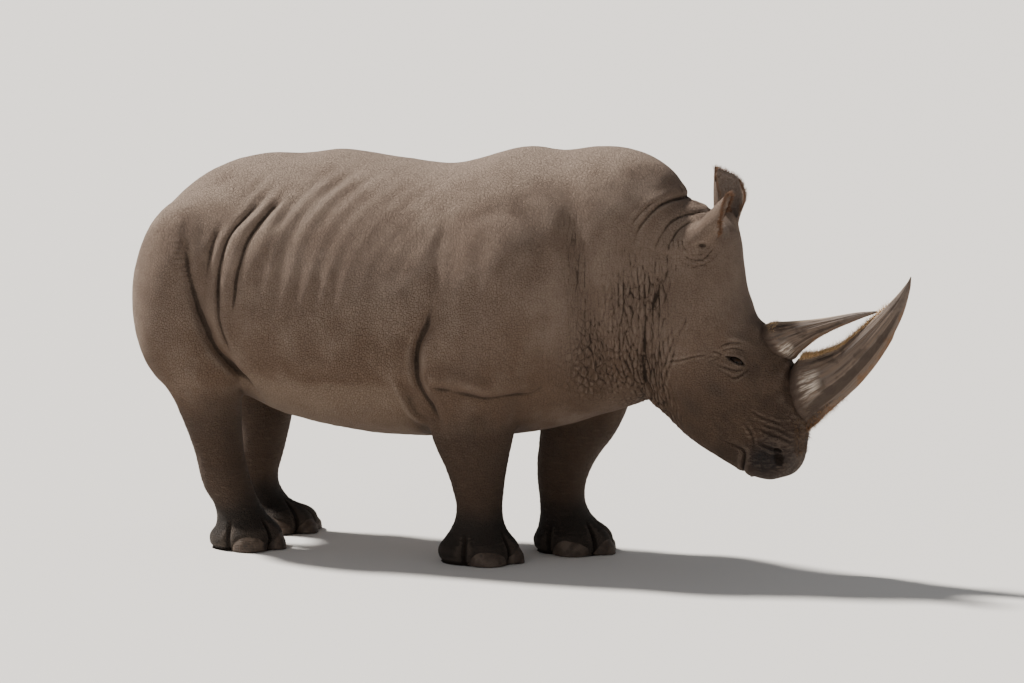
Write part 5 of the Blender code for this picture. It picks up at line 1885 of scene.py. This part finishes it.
skin_charts_by_point = np.full(len(skin_points), "", dtype=object)
skin_charts_by_point[corners_of(skin.data)] = np.repeat(skin_charts, 3)
ear_fur = hair_finish("ear_hair", (0.070, 0.036, 0.020, 1), (0.230, 0.120, 0.066, 1))
dark_hair = hair_finish("dark_hair", (0.012, 0.010, 0.009, 1), (0.060, 0.045, 0.036, 1))
coat = [ear_hair(name) for name in EARS] + [lashes("lashes_right", -1), lashes("lashes_left", 1), brush()]
print("strands", sum(len(item.data.vertices) for item in coat) // STRAND_POINTS)

# %% [markdown]
# ## Frayed fibres of the horns
#
# Fibres stand up along the top of both horns, hang below them and lie over the edge of the skin at the
# front one's root. They are rooted on the rings that the horns were lofted from.

# %% Fray the horns
def fray(name, rings, rows, turns, count, length, ways, width, material):
    """Fibres rooted on a horn's rings, between two shares of its length and two angles."""
    last = len(rings) - 1
    i = (random.triangular(rows[0], *rows, count) * last).astype(int)
    j = random.triangular(turns[0], sum(turns) / 2, turns[1], count) / 360 * HORN_RING
    j = j.astype(int) % HORN_RING
    roots, middle = rings[i, j], rings[i].mean(axis=1)
    outward = unit(roots - middle)
    ahead = unit(rings[np.minimum(i + 6, last)].mean(axis=1) - middle)
    lengths = random.triangular(length[0], *length, count)
    bends = 0.30 * random.normal(size=roots.shape)
    aim = spread_ways(ways[0] * outward + ways[1] * ahead, 0.33)
    widths = width * (0.6 + 0.8 * random.random(count))
    item = strands(name, roots - 0.001 * outward, aim, lengths, widths, bends, skin_places(roots))
    item.data.shade_smooth()
    return wear(item, material, slot="horn")


def muzzle_fringe():
    """Short fibres on the skin under the front horn, pointing down."""
    x, y, z = skin_points.T
    under_horn = (x - 0.5 * np.abs(y) + 0.02 * noise(skin_points, 25, 91) > 1.225) & (z > 0.50) & (z < 0.66)
    chosen = pick(under_horn, MUZZLE_COUNT)
    ways = skin_normals[chosen] + np.array([0.0, 0.0, -0.8])
    bends = np.tile([0.0, 0.0, -0.3], (MUZZLE_COUNT, 1)) + 0.2 * random.normal(size=ways.shape)
    ways = spread_ways(ways, 0.3)
    lengths = random.triangular(0.004, 0.004, 0.024, MUZZLE_COUNT)
    return grow("muzzle_fibres", chosen, ways, lengths, 0.0006, bends, muzzle_fibre)


gold_fibre = hair_finish("horn_fibre", (0.360, 0.200, 0.085, 1), (0.900, 0.640, 0.360, 1))
root_fibre = hair_finish("root_fibre", (0.050, 0.032, 0.022, 1), (0.170, 0.115, 0.080, 1))
low_fibre = hair_finish("low_fibre", (0.090, 0.040, 0.016, 1), (0.420, 0.210, 0.085, 1))
muzzle_fibre = hair_finish("muzzle_fibre", (0.050, 0.024, 0.012, 1), (0.220, 0.120, 0.055, 1))
frays = [
    fray("front_horn_top_fibres", front_rings, (0.14, 0.70), (-28, 28), 5200,
         (0.007, 0.034), (0.80, 0.65), 0.0008, gold_fibre),
    fray("front_horn_root_fibres", front_rings, (0.05, 0.24), (0, 360), 3600,
         (0.006, 0.022), (0.22, 1.0), 0.0008, root_fibre),
    fray("front_horn_low_fibres", front_rings, (0.04, 0.40), (140, 220), 2600,
         (0.004, 0.026), (0.8, 0.25), 0.0007, low_fibre),
    fray("rear_horn_fibres", rear_rings, (0.14, 0.30), (-70, 70), 700,
         (0.005, 0.016), (0.2, 1.0), 0.0006, gold_fibre),
    fray("rear_horn_low_fibres", rear_rings, (0.20, 0.80), (156, 204), 900,
         (0.003, 0.010), (0.5, 0.8), 0.0006, low_fibre),
    muzzle_fringe(),
]
print("fibres", sum(len(item.data.vertices) for item in frays) // STRAND_POINTS)

# %% [markdown]
# ## Floor, light and camera
#
# The animal stands on a plain pale floor so wide that its edge is never seen. A soft sun high behind
# its tail, with some fill from the sky and from the front, lets every fold throw a shadow. The camera
# stands far off with a long lens and looks slightly down.

# %% Floor, light and camera
FLOOR_HALF = 400.0
AZIMUTH, ELEVATION, DISTANCE = 22.0, 7.0, 20.0
FOCAL_LENGTH, CLIP_END = 168.75, 1000.0
AIM = Vector((0.0, 0.0, 0.9))


def towards(azimuth, elevation):
    a, e = radians(azimuth), radians(elevation)
    return Vector((sin(a) * cos(e), -cos(a) * cos(e), sin(e)))


def add_floor():
    square = [(x * FLOOR_HALF, y * FLOOR_HALF, 0) for x, y in ((-1, -1), (1, -1), (1, 1), (-1, 1))]
    floor = new_object("floor", mesh_from("floor", square, [(0, 1, 2, 3)]))
    floor.data.materials.append(Finish("floor", base_color=(0.74, 0.72, 0.69, 1), roughness=0.9).material)


def add_sun(name, way, strength, angle, colour):
    light = bpy.data.lights.new(name, "SUN")
    light.energy, light.angle, light.color = strength, radians(angle), colour
    item = new_object(name, light)
    item.rotation_euler = Vector(way).to_track_quat("Z", "Y").to_euler()


def add_sky(colour, strength):
    world = bpy.data.worlds.new("studio")
    bpy.context.scene.world = world
    world.use_nodes = True
    sky = world.node_tree.nodes["Background"]
    sky.inputs["Color"].default_value, sky.inputs["Strength"].default_value = colour, strength


def add_camera():
    lens = bpy.data.cameras.new("camera")
    lens.lens, lens.clip_end = FOCAL_LENGTH, CLIP_END
    camera = new_object("camera", lens)
    camera.location = AIM + towards(AZIMUTH, ELEVATION) * DISTANCE
    camera.rotation_euler = towards(AZIMUTH, ELEVATION).to_track_quat("Z", "Y").to_euler()
    bpy.context.scene.camera = camera
    return camera


add_floor()
add_sun("key", (-0.80, 0.18, 1.0), 8.6, 6, (1.0, 0.955, 0.90))
add_sun("front_fill", (-0.20, -1.0, 0.30), 0.40, 50, (1.0, 0.98, 0.96))
add_sky((0.88, 0.89, 0.92, 1), 0.30)
print("camera at", [round(v, 2) for v in add_camera().location])

# %% [markdown]
